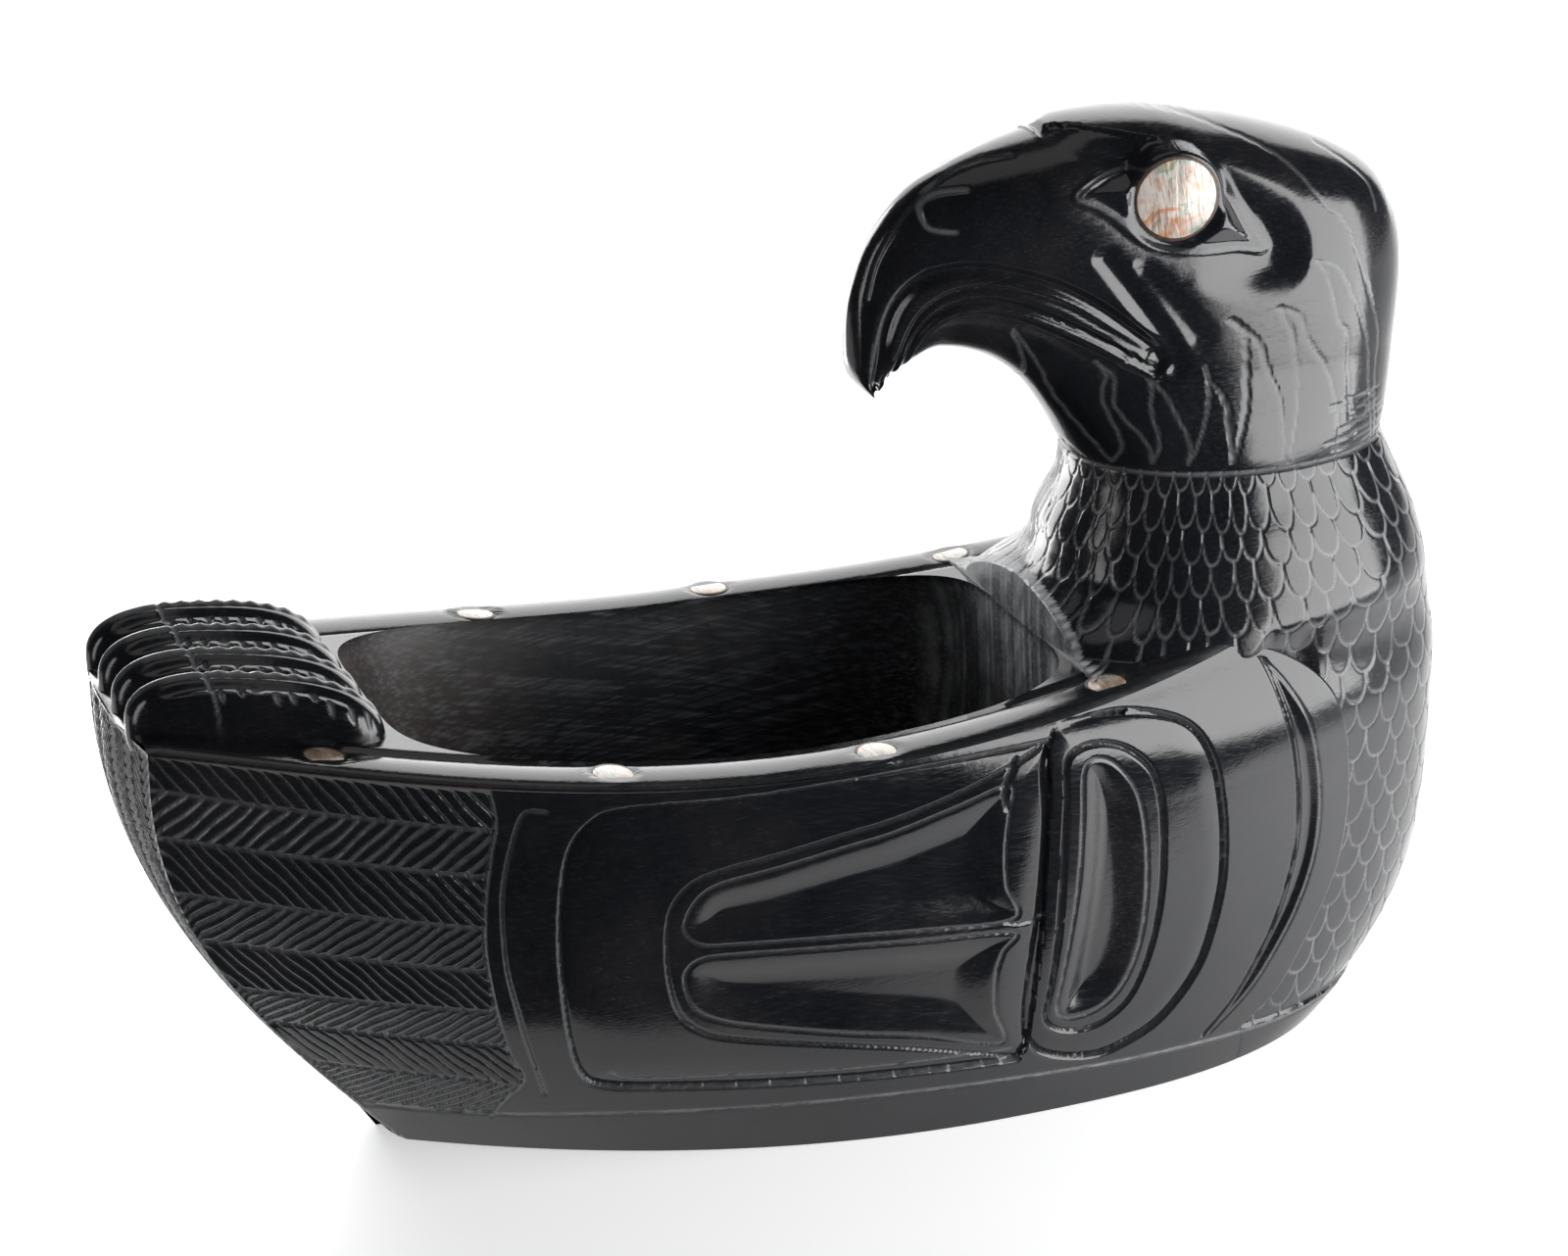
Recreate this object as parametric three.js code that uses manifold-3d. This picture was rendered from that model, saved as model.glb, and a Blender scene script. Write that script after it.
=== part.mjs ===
// A footed bowl carved from one block of black argillite in the form of an eagle. The bird's head is
// turned back over the bowl and its tail rises at the stern. Discs of abalone shell are let into the
// rim and the eyes, each bedded in brown pitch. Millimetres, +Z up, +X towards the breast, and the
// origin under the middle of the whole piece.
import * as THREE from "three";
import { mergeVertices } from "three/addons/utils/BufferGeometryUtils.js";
import Module from "manifold-3d";

const wasm = await Module();
wasm.setup();

// ---- Driving dimensions ----
const LENGTH = 362; // stern to breast
const BREADTH = 130; // across the rim amidships
const RIM_HEIGHT = 110.8; // rim above the table at its lowest
const STERN_LIFT = 18.5; // how far the rim climbs towards the tail
const SHOULDER_LIFT = 10.5; // how far the rim climbs towards the neck
const SHOULDER_FROM_BREAST = 81; // shoulder behind the front of the breast
const LOWEST_FROM_STERN = 166; // lowest point of the rim ahead of the stern

const BASE_BREADTH = 112.6;
const BASE_STERN_BREADTH = 20;
const STERN_BREADTH = 67; // across the transom's top corners
const STERN_RAKE = 64.5; // overhang of the stern beyond the base
const STERN_CROWN = 3.5; // bulge of the transom between its corners
const BREAST_RAKE = 28.5; // overhang of the breast beyond the base
const WIDEST_AT_RIM = 196; // widest section behind the front of the breast, at the rim
const WIDEST_ON_WING = 170; // the same at the fullest level of the wings
const WIDEST_AT_BASE = 112.5; // the same at the base, behind the base's own front

const RIM_BAND = 13.5; // flat of the rim between the outer edge and the cavity
const RIM_ROLL = 1.6; // how far the rim rolls down to its outer edge
const FLOOR = 16; // stone left under the cavity
const CAVITY_FROM_STERN = 64;
const END_WALL_FROM_BREAST = 121; // the cavity's wall under the neck
const CAVITY_STERN_SLOPE = 42; // run of the stern wall from the rim to the floor

const NECK_RISE = 48.5; // rim's lowest point to the incised neck line
const NECK_FROM_BREAST = 63; // neck's axis behind the front of the breast
const NECK_LENGTH = 88.5; // fore and aft, at the neck line
const NECK_BREADTH = 64;
const HEAD_RISE = 89.7; // neck line to crown
const HEAD_BREADTH = 61;

const LOBES = 4; // rounded tail tips on the stern deck
const LOBE_LENGTH = 61;
const LOBE_BREADTH = 19;
const LOBE_PITCH = 16.4;
const LOBE_RISE = 13; // above the stern rim

const EYE_DISC = 20.5;
const EYE_ABOVE_NECK_LINE = 71.3;
const EYE_AHEAD_OF_NECK = 28.4; // towards the beak
const RIM_DISC = 9.6;
const RIM_DISC_PITCH = 66.6;
const FIRST_RIM_DISC = 43.5; // centre of the aftmost disc from the stern
const RIM_DISC_INSET = [8.2, 7.3, 5.9, 7.2]; // disc centres inside the rim's outer edge
const SHELL_THICKNESS = 1.6;
const PITCH_WIDTH = 0.8; // brown ring round each disc
const PITCH_BED = 0.8; // pitch under each disc
const CLEARANCE = 0.3; // between touching pieces

const STERN = -LENGTH / 2;
const BREAST = LENGTH / 2;
const NECK_LINE = RIM_HEIGHT + NECK_RISE;
const NECK_X = BREAST - NECK_FROM_BREAST;

// ---- Materials ----
const stone = new THREE.MeshStandardMaterial({ color: 0x17181a, roughness: 0.28, metalness: 0 });
const shell = new THREE.MeshStandardMaterial({ color: 0xd9c7b4, roughness: 0.25, metalness: 0.1 });
const pitch = new THREE.MeshStandardMaterial({ color: 0x5a3a1e, roughness: 0.6, metalness: 0 });

const mix = THREE.MathUtils.lerp;
const clamp = THREE.MathUtils.clamp;

// A signed power, for superelliptic sections.
function bend(value, power) {
  return Math.sign(value) * Math.abs(value) ** power;
}

// ---- Solids ----
function solidOf(geometry) {
  const bare = new THREE.BufferGeometry();
  bare.setAttribute("position", geometry.getAttribute("position"));
  bare.setIndex(geometry.index);
  const merged = mergeVertices(bare, 1e-3);
  return new wasm.Manifold(
    new wasm.Mesh({
      numProp: 3,
      vertProperties: new Float32Array(merged.attributes.position.array),
      triVerts: new Uint32Array(merged.index.array),
    }),
  );
}

const WELD = 0.03; // corners nearer than this become one

// The cut block as a geometry, with the slivers that the cuts leave welded away.
function geometryOf(solid) {
  const mesh = solid.getMesh();
  const geometry = new THREE.BufferGeometry();
  geometry.setAttribute("position", new THREE.BufferAttribute(mesh.vertProperties, 3));
  geometry.setIndex(new THREE.BufferAttribute(mesh.triVerts, 1));
  const welded = mergeVertices(geometry, WELD);
  const kept = [];
  for (let i = 0; i < welded.index.count; i += 3) {
    const [a, b, c] = welded.index.array.slice(i, i + 3);
    if (a !== b && b !== c && c !== a) {
      kept.push(a, b, c);
    }
  }
  welded.setIndex(kept);
  return welded;
}

// A closed skin over a unit lathe. The profile runs from the axis at the foot to the axis at the
// top, and place(turn, radius, level) says where each point of it goes, turn running from 0 to 1.
function skin(profile, around, place) {
  const points = profile.map(([radius, level]) => new THREE.Vector2(radius, level));
  const geometry = new THREE.LatheGeometry(points, around);
  const position = geometry.getAttribute("position");
  for (let i = 0; i < position.count; i++) {
    const turn = (Math.floor(i / profile.length) % around) / around;
    const [radius, level] = profile[i % profile.length];
    position.setXYZ(i, ...place(turn, radius, level));
  }
  return solidOf(geometry);
}

// Levels from one height to another at the lathe's full radius.
function wall(from, to, steps) {
  return Array.from({ length: steps + 1 }, (_, i) => [1, mix(from, to, i / steps)]);
}

// ---- The bowl's outer form ----
const LOWEST_X = STERN + LOWEST_FROM_STERN;
const SHOULDER_X = BREAST - SHOULDER_FROM_BREAST;

// Height of the rim at x.
function sheer(x) {
  if (x < LOWEST_X) {
    const t = clamp((LOWEST_X - x) / LOWEST_FROM_STERN, 0, 1);
    return RIM_HEIGHT + STERN_LIFT * (1 - (1 - t ** 1.75) ** 1.4);
  }
  const t = clamp((x - LOWEST_X) / (SHOULDER_X - LOWEST_X), 0, 1);
  return RIM_HEIGHT + SHOULDER_LIFT * t ** 2.5;
}

const FULLEST = 0.75; // level at which the wings swell furthest out

// The plan of the bowl at a level from 0 at the base to 1 at the rim.
function plan(level) {
  const overhang = Math.sin((Math.PI / 2) * Math.min(1, 1.08 * level));
  const below = Math.min(1, level / FULLEST);
  const above = Math.max(0, (level - FULLEST) / (1 - FULLEST));
  const front = 1 - (1 - below) ** 4 - 0.075 * above ** 2;
  const fullness = 1 - (1 - level) ** 1.5;
  const base = BREAST - BREAST_RAKE;
  const widestBelow = mix(base - WIDEST_AT_BASE, BREAST - WIDEST_ON_WING, below);
  return {
    stern: STERN + STERN_CROWN + STERN_RAKE * (1 - overhang),
    breast: base + BREAST_RAKE * front,
    widest: mix(widestBelow, BREAST - WIDEST_AT_RIM, above ** 2),
    sternHalf: mix(BASE_STERN_BREADTH, STERN_BREADTH, Math.sin((Math.PI / 2) * level)) / 2,
    half: mix(BASE_BREADTH, BREADTH, fullness) / 2,
    sternPower: mix(2.1, 2.45, level),
    breastPower: mix(2.6, 1.5, above ** 2),
  };
}

// Half the breadth of that plan at x.
function halfBreadth(x, p) {
  if (x < p.widest) {
    const t = clamp((p.widest - x) / (p.widest - p.stern), 0, 1);
    return mix(p.half, p.sternHalf, t ** p.sternPower);
  }
  const t = clamp((x - p.widest) / (p.breast - p.widest), 0, 1);
  return p.half * Math.sqrt(Math.max(0, 1 - t ** p.breastPower));
}

const CORNER = 0.9; // share of each half turn that runs from the breast to the transom's corner

// A point of the outline, turn 0 at the breast and 0.5 at the middle of the transom.
function outline(turn, level) {
  const p = plan(level);
  const side = turn <= 0.5 ? 1 : -1;
  const run = turn <= 0.5 ? 2 * turn : 2 - 2 * turn;
  if (run < CORNER) {
    const x = mix(p.breast, p.stern, (run / CORNER) ** 1.5);
    return [x, side * halfBreadth(x, p)];
  }
  const across = (1 - run) / (1 - CORNER);
  return [p.stern - STERN_CROWN * (1 - across ** 2), side * p.sternHalf * across];
}

const KEEL_FROM_STERN = 70;
const KEEL_FROM_BREAST = 60;

const hull = skin(
  [[0, 0], ...wall(0, 0.2, 4), ...wall(0.3, 0.7, 3), ...wall(0.76, 1, 5), [0.95, 1], [0.7, 1], [0.35, 1], [0, 1]],
  80,
  (turn, radius, level) => {
    const [x, y] = outline(turn, level);
    const keel = clamp(x, STERN + KEEL_FROM_STERN, BREAST - KEEL_FROM_BREAST);
    const at = radius === 0 ? 0 : mix(keel, x, radius);
    const height = radius < 1 ? sheer(at) : sheer(outline(turn, 1)[0]) - RIM_ROLL;
    return [at, radius * y, level * height];
  },
);

// ---- The cavity ----
const END_WALL = BREAST - END_WALL_FROM_BREAST;
const TOP_LEVEL = 1.25; // the cutter stands above the rim

const cavity = skin(
  [[0, 0], [0.6, 0], [0.82, 0.02], [0.93, 0.06], [0.98, 0.12], ...wall(0.2, 1, 5), [0, 1]],
  56,
  (turn, radius, depth) => {
    const low = FLOOR / RIM_HEIGHT;
    const level = mix(low, TOP_LEVEL, depth);
    const p = plan(Math.min(1, level));
    const slope = CAVITY_STERN_SLOPE * (1 - Math.min(1, level)) ** 1.2;
    const aft = STERN + CAVITY_FROM_STERN + slope;
    const middle = (aft + END_WALL) / 2;
    const c = bend(Math.cos(2 * Math.PI * turn), 0.36);
    const s = bend(Math.sin(2 * Math.PI * turn), 0.36);
    const x = middle + ((END_WALL - aft) / 2) * c;
    const half = halfBreadth(x, p) - RIM_BAND;
    const at = mix(middle, x, radius);
    return [at, radius * half * s, level * sheer(at)];
  },
);

// ---- The neck ----
// Sections from inside the breast to inside the head: height above the rim's lowest point, how far
// the front lies behind the breast's, the length beyond that at the neck line, and the same for
// half the breadth.
const NECK_SECTIONS = [
  [-50, 10, 18, 6],
  [-15, 6, 34, 14],
  [6, 4.5, 44, 18],
  [18, 7, 22, 13],
  [30, 11, 14, 8],
  [41, 16.5, 3.5, 2.5],
  [NECK_RISE, 19.5, 0, 0],
  [NECK_RISE + 12, 18, -1, -2],
];
const neckForm = new THREE.CubicInterpolant(
  NECK_SECTIONS.map(([rise]) => rise),
  NECK_SECTIONS.flatMap((section) => section.slice(1)),
  3,
  [0, 0, 0],
);

const neck = skin(
  [[0, 0], ...wall(0, 0.5, 3), ...wall(0.56, 1, 7), [0, 1]],
  48,
  (turn, radius, level) => {
    const rise = mix(NECK_SECTIONS[0][0], NECK_RISE + 12, level);
    const [inset, longer, broader] = neckForm.evaluate(rise);
    const halfLength = (NECK_LENGTH + longer) / 2;
    const middle = BREAST - inset - halfLength;
    const x = middle + halfLength * Math.cos(2 * Math.PI * turn) * radius;
    const y = (NECK_BREADTH / 2 + broader) * Math.sin(2 * Math.PI * turn) * radius;
    return [x, y, RIM_HEIGHT + rise];
  },
);

// ---- The head and beak ----
// Both are set out about the neck's axis on the neck line: across from it, and up from it.
const CROWN = 89.5; // height of the highest point below
function headCurve(points, closed) {
  const scaled = points.map(([across, up]) => new THREE.Vector3(across, 0, (up * HEAD_RISE) / CROWN));
  return new THREE.CatmullRomCurve3(scaled, closed, "centripetal");
}

// Half the head's thickness at a distance ahead of the beak's foremost point.
const BEAK_REACH = 107.5;
function headHalf(across) {
  const reach = Math.max(0, across + BEAK_REACH);
  return (HEAD_BREADTH / 2) * (1 - Math.exp(-(reach + 4) / 42)) + 0.5;
}

// The head's side view, from the nape over the crown and down the face to the throat.
const headOutline = headCurve([
  [40.5, -7.5], [43, 4.5], [46, 24.5], [46.5, 44.5], [44, 58], [38, 69], [28, 76], [13, 82],
  [-6, 87], [-26, 89.5], [-46, 89.4], [-60, 86.8], [-72, 78], [-74, 58], [-69, 36.5],
  [-60, 22.5], [-51.5, 11.5], [-46, 1.5], [-43, -9.5], [-20, -15.5], [20, -15.5],
], true);
const HEAD_MIDDLE = new THREE.Vector3(-6, 0, 42);
const HEAD_STEPS = 16;

const head = skin(
  Array.from({ length: HEAD_STEPS + 1 }, (_, i) => {
    const angle = (Math.PI * i) / HEAD_STEPS;
    return [i % HEAD_STEPS === 0 ? 0 : Math.sin(angle), Math.cos(angle)];
  }),
  64,
  (turn, radius, level) => {
    const point = HEAD_MIDDLE.clone().lerp(headOutline.getPointAt(turn), radius ** 0.8);
    const y = headHalf(point.x) * bend(level, 0.55);
    return [NECK_X + point.x, y, NECK_LINE + point.z];
  },
);

// The beak hooks down from the brow between its ridge and its lower edge.
const beakRidge = headCurve(
  [[-50, 81], [-60, 87], [-78, 82.5], [-91.5, 74.5], [-101.5, 62.5], [-106.5, 47.5], [-107.3, 34.5],
    [-103, 24.5]],
  false,
);
const beakEdge = headCurve(
  [[-48, 12.5], [-60, 22.5], [-71, 30], [-83, 33], [-94, 27.5], [-99, 23.1], [-101.5, 23.5]],
  false,
);

const beak = skin(
  [[0, 0], ...wall(0, 1, 14), [0, 1]],
  20,
  (turn, radius, level) => {
    const ridge = beakRidge.getPointAt(level);
    const edge = beakEdge.getPointAt(level);
    const high = bend(Math.cos(2 * Math.PI * turn), 0.8);
    const point = edge.clone().lerp(ridge, (1 + radius * high) / 2);
    const y = radius * bend(Math.sin(2 * Math.PI * turn), 0.8) * headHalf(point.x) * 0.92;
    return [NECK_X + point.x, y, NECK_LINE + point.z];
  },
);

// ---- The tail tips on the stern deck ----
const LOBE_DEPTH = 15;
const LOBE_FAN = 0.13; // how much they spread towards the bowl, per unit of length
const LOBE_FALL = 0.16; // how much they fall towards the bowl, per unit of length

function lobe(index) {
  const offset = index - (LOBES - 1) / 2;
  const middleX = STERN + LOBE_LENGTH / 2 + 1;
  const ball = new THREE.SphereGeometry(1, 20, 12);
  ball.rotateX(Math.PI / 2);
  const position = ball.getAttribute("position");
  for (let i = 0; i < position.count; i++) {
    const x = (LOBE_LENGTH / 2) * bend(position.getX(i), 0.75);
    const spread = 1 + (LOBE_FAN * x * 2) / LOBE_LENGTH;
    const y = spread * (offset * LOBE_PITCH + (LOBE_BREADTH / 2) * bend(position.getY(i), 0.85));
    const z = LOBE_DEPTH * bend(position.getZ(i), 0.8) - LOBE_FALL * x;
    position.setXYZ(i, middleX + x, y, sheer(STERN) + LOBE_RISE - LOBE_DEPTH - 3 + z);
  }
  return solidOf(ball);
}

let block = hull.add(neck).add(head).add(beak);
for (let i = 0; i < LOBES; i++) {
  block = block.add(lobe(i));
}
block = block.subtract(cavity);

// ---- Shell inlays, their pitch beds, and the pockets that take them ----
const PROUD = 12; // how far a pocket's cutter stands out of the stone

function disc(radius, from, to, sides) {
  const drum = new THREE.CylinderGeometry(radius, radius, to - from, sides);
  drum.rotateX(Math.PI / 2);
  drum.translate(0, 0, (from + to) / 2);
  return drum;
}

// A shallow cup: a floor of pitch with a ring that stands up round the shell.
function cup(outer, inner, bottom, floor, lip, sides) {
  const profile = [[0, bottom], [outer, bottom], [outer, lip], [inner, lip], [inner, floor], [0, floor]];
  const points = profile.map(([radius, height]) => new THREE.Vector2(radius, height));
  const lathe = new THREE.LatheGeometry(points, sides);
  lathe.rotateX(Math.PI / 2);
  return lathe;
}

// One inlay's shapes about its own axis, +Z out of the stone and 0 at the shell's face.
function inlayShapes(diameter, sides) {
  const radius = diameter / 2;
  const ring = radius + CLEARANCE + PITCH_WIDTH;
  const floor = -SHELL_THICKNESS - CLEARANCE;
  return {
    shell: disc(radius, -SHELL_THICKNESS, 0, sides),
    pitch: cup(ring, radius + CLEARANCE, floor - PITCH_BED, floor, 0, sides),
    pocket: disc(ring + CLEARANCE, floor - PITCH_BED - CLEARANCE, PROUD, sides),
  };
}

function seat(position, outwards) {
  const turn = new THREE.Quaternion().setFromUnitVectors(new THREE.Vector3(0, 0, 1), outwards);
  return new THREE.Matrix4().compose(position, turn, new THREE.Vector3(1, 1, 1));
}

const RIM_TILT = 0.05; // the rim discs lean outwards a little
const inlays = [];
for (const [sideName, side] of [["starboard", -1], ["port", 1]]) {
  RIM_DISC_INSET.forEach((inset, i) => {
    const x = STERN + FIRST_RIM_DISC + i * RIM_DISC_PITCH;
    const y = side * (halfBreadth(x, plan(1)) - inset);
    const slope = (sheer(x + 1) - sheer(x - 1)) / 2;
    const outwards = new THREE.Vector3(-slope, side * RIM_TILT, 1).normalize();
    const place = seat(new THREE.Vector3(x, y, sheer(x) - CLEARANCE), outwards);
    inlays.push({ name: `rim_${sideName}_${i + 1}`, place, shapes: inlayShapes(RIM_DISC, 20) });
  });
  const across = -EYE_AHEAD_OF_NECK;
  const depth = headHalf(across) - 2.2;
  const at = new THREE.Vector3(NECK_X + across, side * depth, NECK_LINE + EYE_ABOVE_NECK_LINE);
  const outwards = new THREE.Vector3(-0.14, side, 0).normalize();
  inlays.push({ name: `eye_${sideName}`, place: seat(at, outwards), shapes: inlayShapes(EYE_DISC, 32) });
}

for (const { place, shapes } of inlays) {
  block = block.subtract(solidOf(shapes.pocket.applyMatrix4(place)));
}

// ---- Assembly ----
function part(name, geometry, material) {
  const mesh = new THREE.Mesh(geometry, material.clone());
  mesh.name = name;
  return mesh;
}

const bowl = new THREE.Group();
bowl.add(part("stone_body", geometryOf(block), stone));
for (const { name, place, shapes } of inlays) {
  for (const [piece, geometry, material] of [
    ["shell", shapes.shell, shell],
    ["pitch", shapes.pitch, pitch],
  ]) {
    const mesh = part(`${piece}_${name}`, geometry, material);
    mesh.applyMatrix4(place);
    bowl.add(mesh);
  }
}

export default bowl;
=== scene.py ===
import math

import bmesh
import bpy
import numpy as np
from mathutils import Matrix, Vector


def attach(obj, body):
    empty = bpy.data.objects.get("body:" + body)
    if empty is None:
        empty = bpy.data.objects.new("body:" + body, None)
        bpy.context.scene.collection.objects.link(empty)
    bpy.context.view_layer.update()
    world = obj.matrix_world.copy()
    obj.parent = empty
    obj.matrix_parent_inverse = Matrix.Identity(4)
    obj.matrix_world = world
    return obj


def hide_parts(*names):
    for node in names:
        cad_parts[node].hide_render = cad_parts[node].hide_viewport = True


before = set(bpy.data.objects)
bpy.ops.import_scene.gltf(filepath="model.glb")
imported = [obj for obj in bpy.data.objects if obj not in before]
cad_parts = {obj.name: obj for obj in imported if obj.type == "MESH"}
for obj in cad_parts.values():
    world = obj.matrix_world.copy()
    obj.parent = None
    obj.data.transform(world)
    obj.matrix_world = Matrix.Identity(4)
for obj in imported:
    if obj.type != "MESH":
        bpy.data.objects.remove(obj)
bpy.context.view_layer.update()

# ---- The bowl's sides ----
# Both sides, the stern and the base are one wall of black argillite, rubbed to a deep polish. Each
# side is carved in low relief with a wing: a split feather, an oval joint and a crescent. Herringbone
# feathers run round the stern, and chalky dust is left in the cut lines.
MM = 0.001
FINE = 1.0
rng = np.random.default_rng(7)


def add(tree, kind, inputs=None, **settings):
    """A shader node, with its settings, and its sockets given as values or as links."""
    made = tree.nodes.new("ShaderNode" + kind)
    for key, value in settings.items():
        setattr(made, key, value)
    for key, value in (inputs or {}).items():
        if isinstance(value, bpy.types.NodeSocket):
            tree.links.new(value, made.inputs[key])
        else:
            made.inputs[key].default_value = value
    return made


def ramp(tree, value, stops):
    """A colour that runs through stops, each a place with a colour or a grey."""
    made = add(tree, "ValToRGB", {"Fac": value})
    band = made.color_ramp
    while len(band.elements) < len(stops):
        band.elements.new(0.5)
    for element, (place, colour) in zip(band.elements, stops):
        element.position = place
        element.color = (*colour, 1) if isinstance(colour, tuple) else (colour, colour, colour, 1)
    return made.outputs["Color"]


def group(name, inputs, outputs):
    """An empty node group with its sockets, as the group and its two end nodes."""
    made = bpy.data.node_groups.new(name, "ShaderNodeTree")
    for socket in inputs:
        made.interface.new_socket(socket, in_out="INPUT", socket_type="NodeSocketFloat")
    for socket in outputs:
        made.interface.new_socket(socket, in_out="OUTPUT", socket_type="NodeSocketFloat")
    return made, made.nodes.new("NodeGroupInput"), made.nodes.new("NodeGroupOutput")


def use(tree, shared, **inputs):
    """A shared group placed in a material, with its own values."""
    made = tree.nodes.new("ShaderNodeGroup")
    made.node_tree = shared
    for key, value in inputs.items():
        made.inputs[key].default_value = value
    return made


# Fine rubbing marks: threads of noise drawn out along two slightly crossed directions.
rubbing, rub_in, rub_out = group("rubbing marks", ["Turn", "Spread", "Fineness"], ["Marks", "Threads"])
at = add(rubbing, "TexCoord").outputs["Object"]
at = add(rubbing, "VectorMath", {0: at, "Scale": rub_in.outputs["Fineness"]}, operation="SCALE").outputs[0]
turned = add(rubbing, "VectorRotate", {"Vector": at, "Axis": (0.2, 1, 0.1),
                                       "Angle": rub_in.outputs["Turn"]})
drawn = add(rubbing, "Mapping", {"Vector": turned.outputs[0], "Scale": (11, 2300, 3100)})
thread = add(rubbing, "TexNoise", {"Vector": drawn.outputs[0], "Scale": 1.0, "Detail": 3.0})
turned_back = add(rubbing, "VectorRotate", {"Vector": at, "Axis": (0.1, 1, 0.3),
                                            "Angle": rub_in.outputs["Spread"]})
drawn_back = add(rubbing, "Mapping", {"Vector": turned_back.outputs[0], "Scale": (16, 2900, 2300)})
cross = add(rubbing, "TexNoise", {"Vector": drawn_back.outputs[0], "Scale": 1.0, "Detail": 2.0})
both = add(rubbing, "Math", {0: thread.outputs["Fac"], 1: cross.outputs["Fac"]}, operation="MULTIPLY")
marks = add(rubbing, "MapRange", {"Value": both.outputs[0], "From Min": 0.22, "From Max": 0.46})
rubbing.links.new(marks.outputs[0], rub_out.inputs["Marks"])
rubbing.links.new(thread.outputs["Fac"], rub_out.inputs["Threads"])


BLACK, GREY_BLACK = (0.004, 0.0045, 0.006), (0.011, 0.012, 0.015)
WORN_BROWN = (0.06, 0.04, 0.028, 1)
DUST = (0.16, 0.17, 0.19, 1)
CHALK_AND_HIGHLIGHT_GREY = (0.36, 0.37, 0.38, 1)


def argillite(name, roughness, dust, worn, fineness):
    """Polished stone: how rough, how dusty its rubbing marks, how brown, and how fine the marks are."""
    material = bpy.data.materials.new(name)
    material.use_nodes = True
    tree = material.node_tree
    surface = tree.nodes["Principled BSDF"]
    place = add(tree, "TexCoord").outputs["Object"]
    cloud = add(tree, "TexNoise", {"Vector": place, "Scale": 28.0, "Detail": 6.0, "Roughness": 0.65})
    speck = add(tree, "TexNoise", {"Vector": place, "Scale": 420.0, "Detail": 3.0})
    rub = use(tree, rubbing, Turn=0.14, Spread=-0.24, Fineness=fineness)
    stone = ramp(tree, cloud.outputs["Fac"], [(0.3, BLACK), (0.7, GREY_BLACK)])
    brown = add(tree, "MapRange", {"Value": cloud.outputs["Fac"], "From Min": 0.52, "From Max": 0.75,
                                   "To Max": worn})
    rust = add(tree, "Attribute", attribute_name="wear")
    brown_all = add(tree, "Math", {0: brown.outputs[0], 1: rust.outputs["Fac"]},
                    operation="ADD", use_clamp=True)
    warm = add(tree, "MixRGB", {"Fac": brown_all.outputs[0], "Color1": stone, "Color2": WORN_BROWN})
    dusty = add(tree, "Math", {0: rub.outputs["Marks"], 1: dust}, operation="MULTIPLY")
    greyed = add(tree, "MixRGB", {"Fac": dusty.outputs[0], "Color1": warm.outputs[0], "Color2": DUST})
    # The chalk attribute is chalk left in the cut lines; on the tail tips it also carries a painted
    # highlight along each crest.
    chalk = add(tree, "Attribute", attribute_name="chalk")
    broken = add(tree, "MapRange", {"Value": speck.outputs["Fac"], "From Min": 0.3, "From Max": 0.6,
                                    "To Min": 0.75, "To Max": 1.12})
    chalk_and_crest_highlight = add(tree, "Math", {0: chalk.outputs["Fac"], 1: broken.outputs[0]},
                 operation="MULTIPLY", use_clamp=True)
    colour = add(tree, "MixRGB", {"Fac": chalk_and_crest_highlight.outputs[0], "Color1": greyed.outputs[0], "Color2": CHALK_AND_HIGHLIGHT_GREY})
    tree.links.new(colour.outputs[0], surface.inputs["Base Color"])
    base = add(tree, "MapRange", {"Value": cloud.outputs["Fac"], "From Min": 0.35, "From Max": 0.75,
                                  "To Min": roughness, "To Max": roughness + 0.11})
    streaked = add(tree, "Math", {0: rub.outputs["Marks"], 1: 0.12, 2: base.outputs[0]},
                   operation="MULTIPLY_ADD")
    rough = add(tree, "Math", {0: chalk_and_crest_highlight.outputs[0], 1: 0.5, 2: streaked.outputs[0]},
                operation="MULTIPLY_ADD")
    tree.links.new(rough.outputs[0], surface.inputs["Roughness"])
    surface.inputs["IOR"].default_value = 1.56
    bump = add(tree, "Bump", {"Height": rub.outputs["Threads"], "Distance": 0.00004, "Strength": 0.5})
    wave = add(tree, "Bump", {"Height": cloud.outputs["Fac"], "Distance": 0.0006, "Strength": 0.35,
                              "Normal": bump.outputs[0]})
    tree.links.new(wave.outputs[0], surface.inputs["Normal"])
    return material


polished = argillite("polished argillite", 0.1, 0.06, 0.12, 0.8)

# The bowl's sizes, in millimetres.
LENGTH = 362.0
BREADTH = 130.0
RIM_HEIGHT = 110.8
RIM_ROLL = 1.6
RIM_BAND = 13.5
STERN = -LENGTH / 2
BREAST = LENGTH / 2
LOWEST = STERN + 166
TRANSOM_BULGE = 3.5


def mix(a, b, t):
    return a + (b - a) * t


def smooth(t):
    """From 0 to 1, starting and ending softly."""
    t = np.clip(t, 0, 1)
    return t * t * (3 - 2 * t)


def sheer(x):
    """Height of the rim at x."""
    aft = np.clip((LOWEST - x) / (LOWEST - STERN), 0, 1)
    fore = np.clip((x - LOWEST) / 115, 0, 1)
    return RIM_HEIGHT + 18.5 * (1 - (1 - aft**1.75) ** 1.4) + 10.5 * fore**2.5


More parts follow.
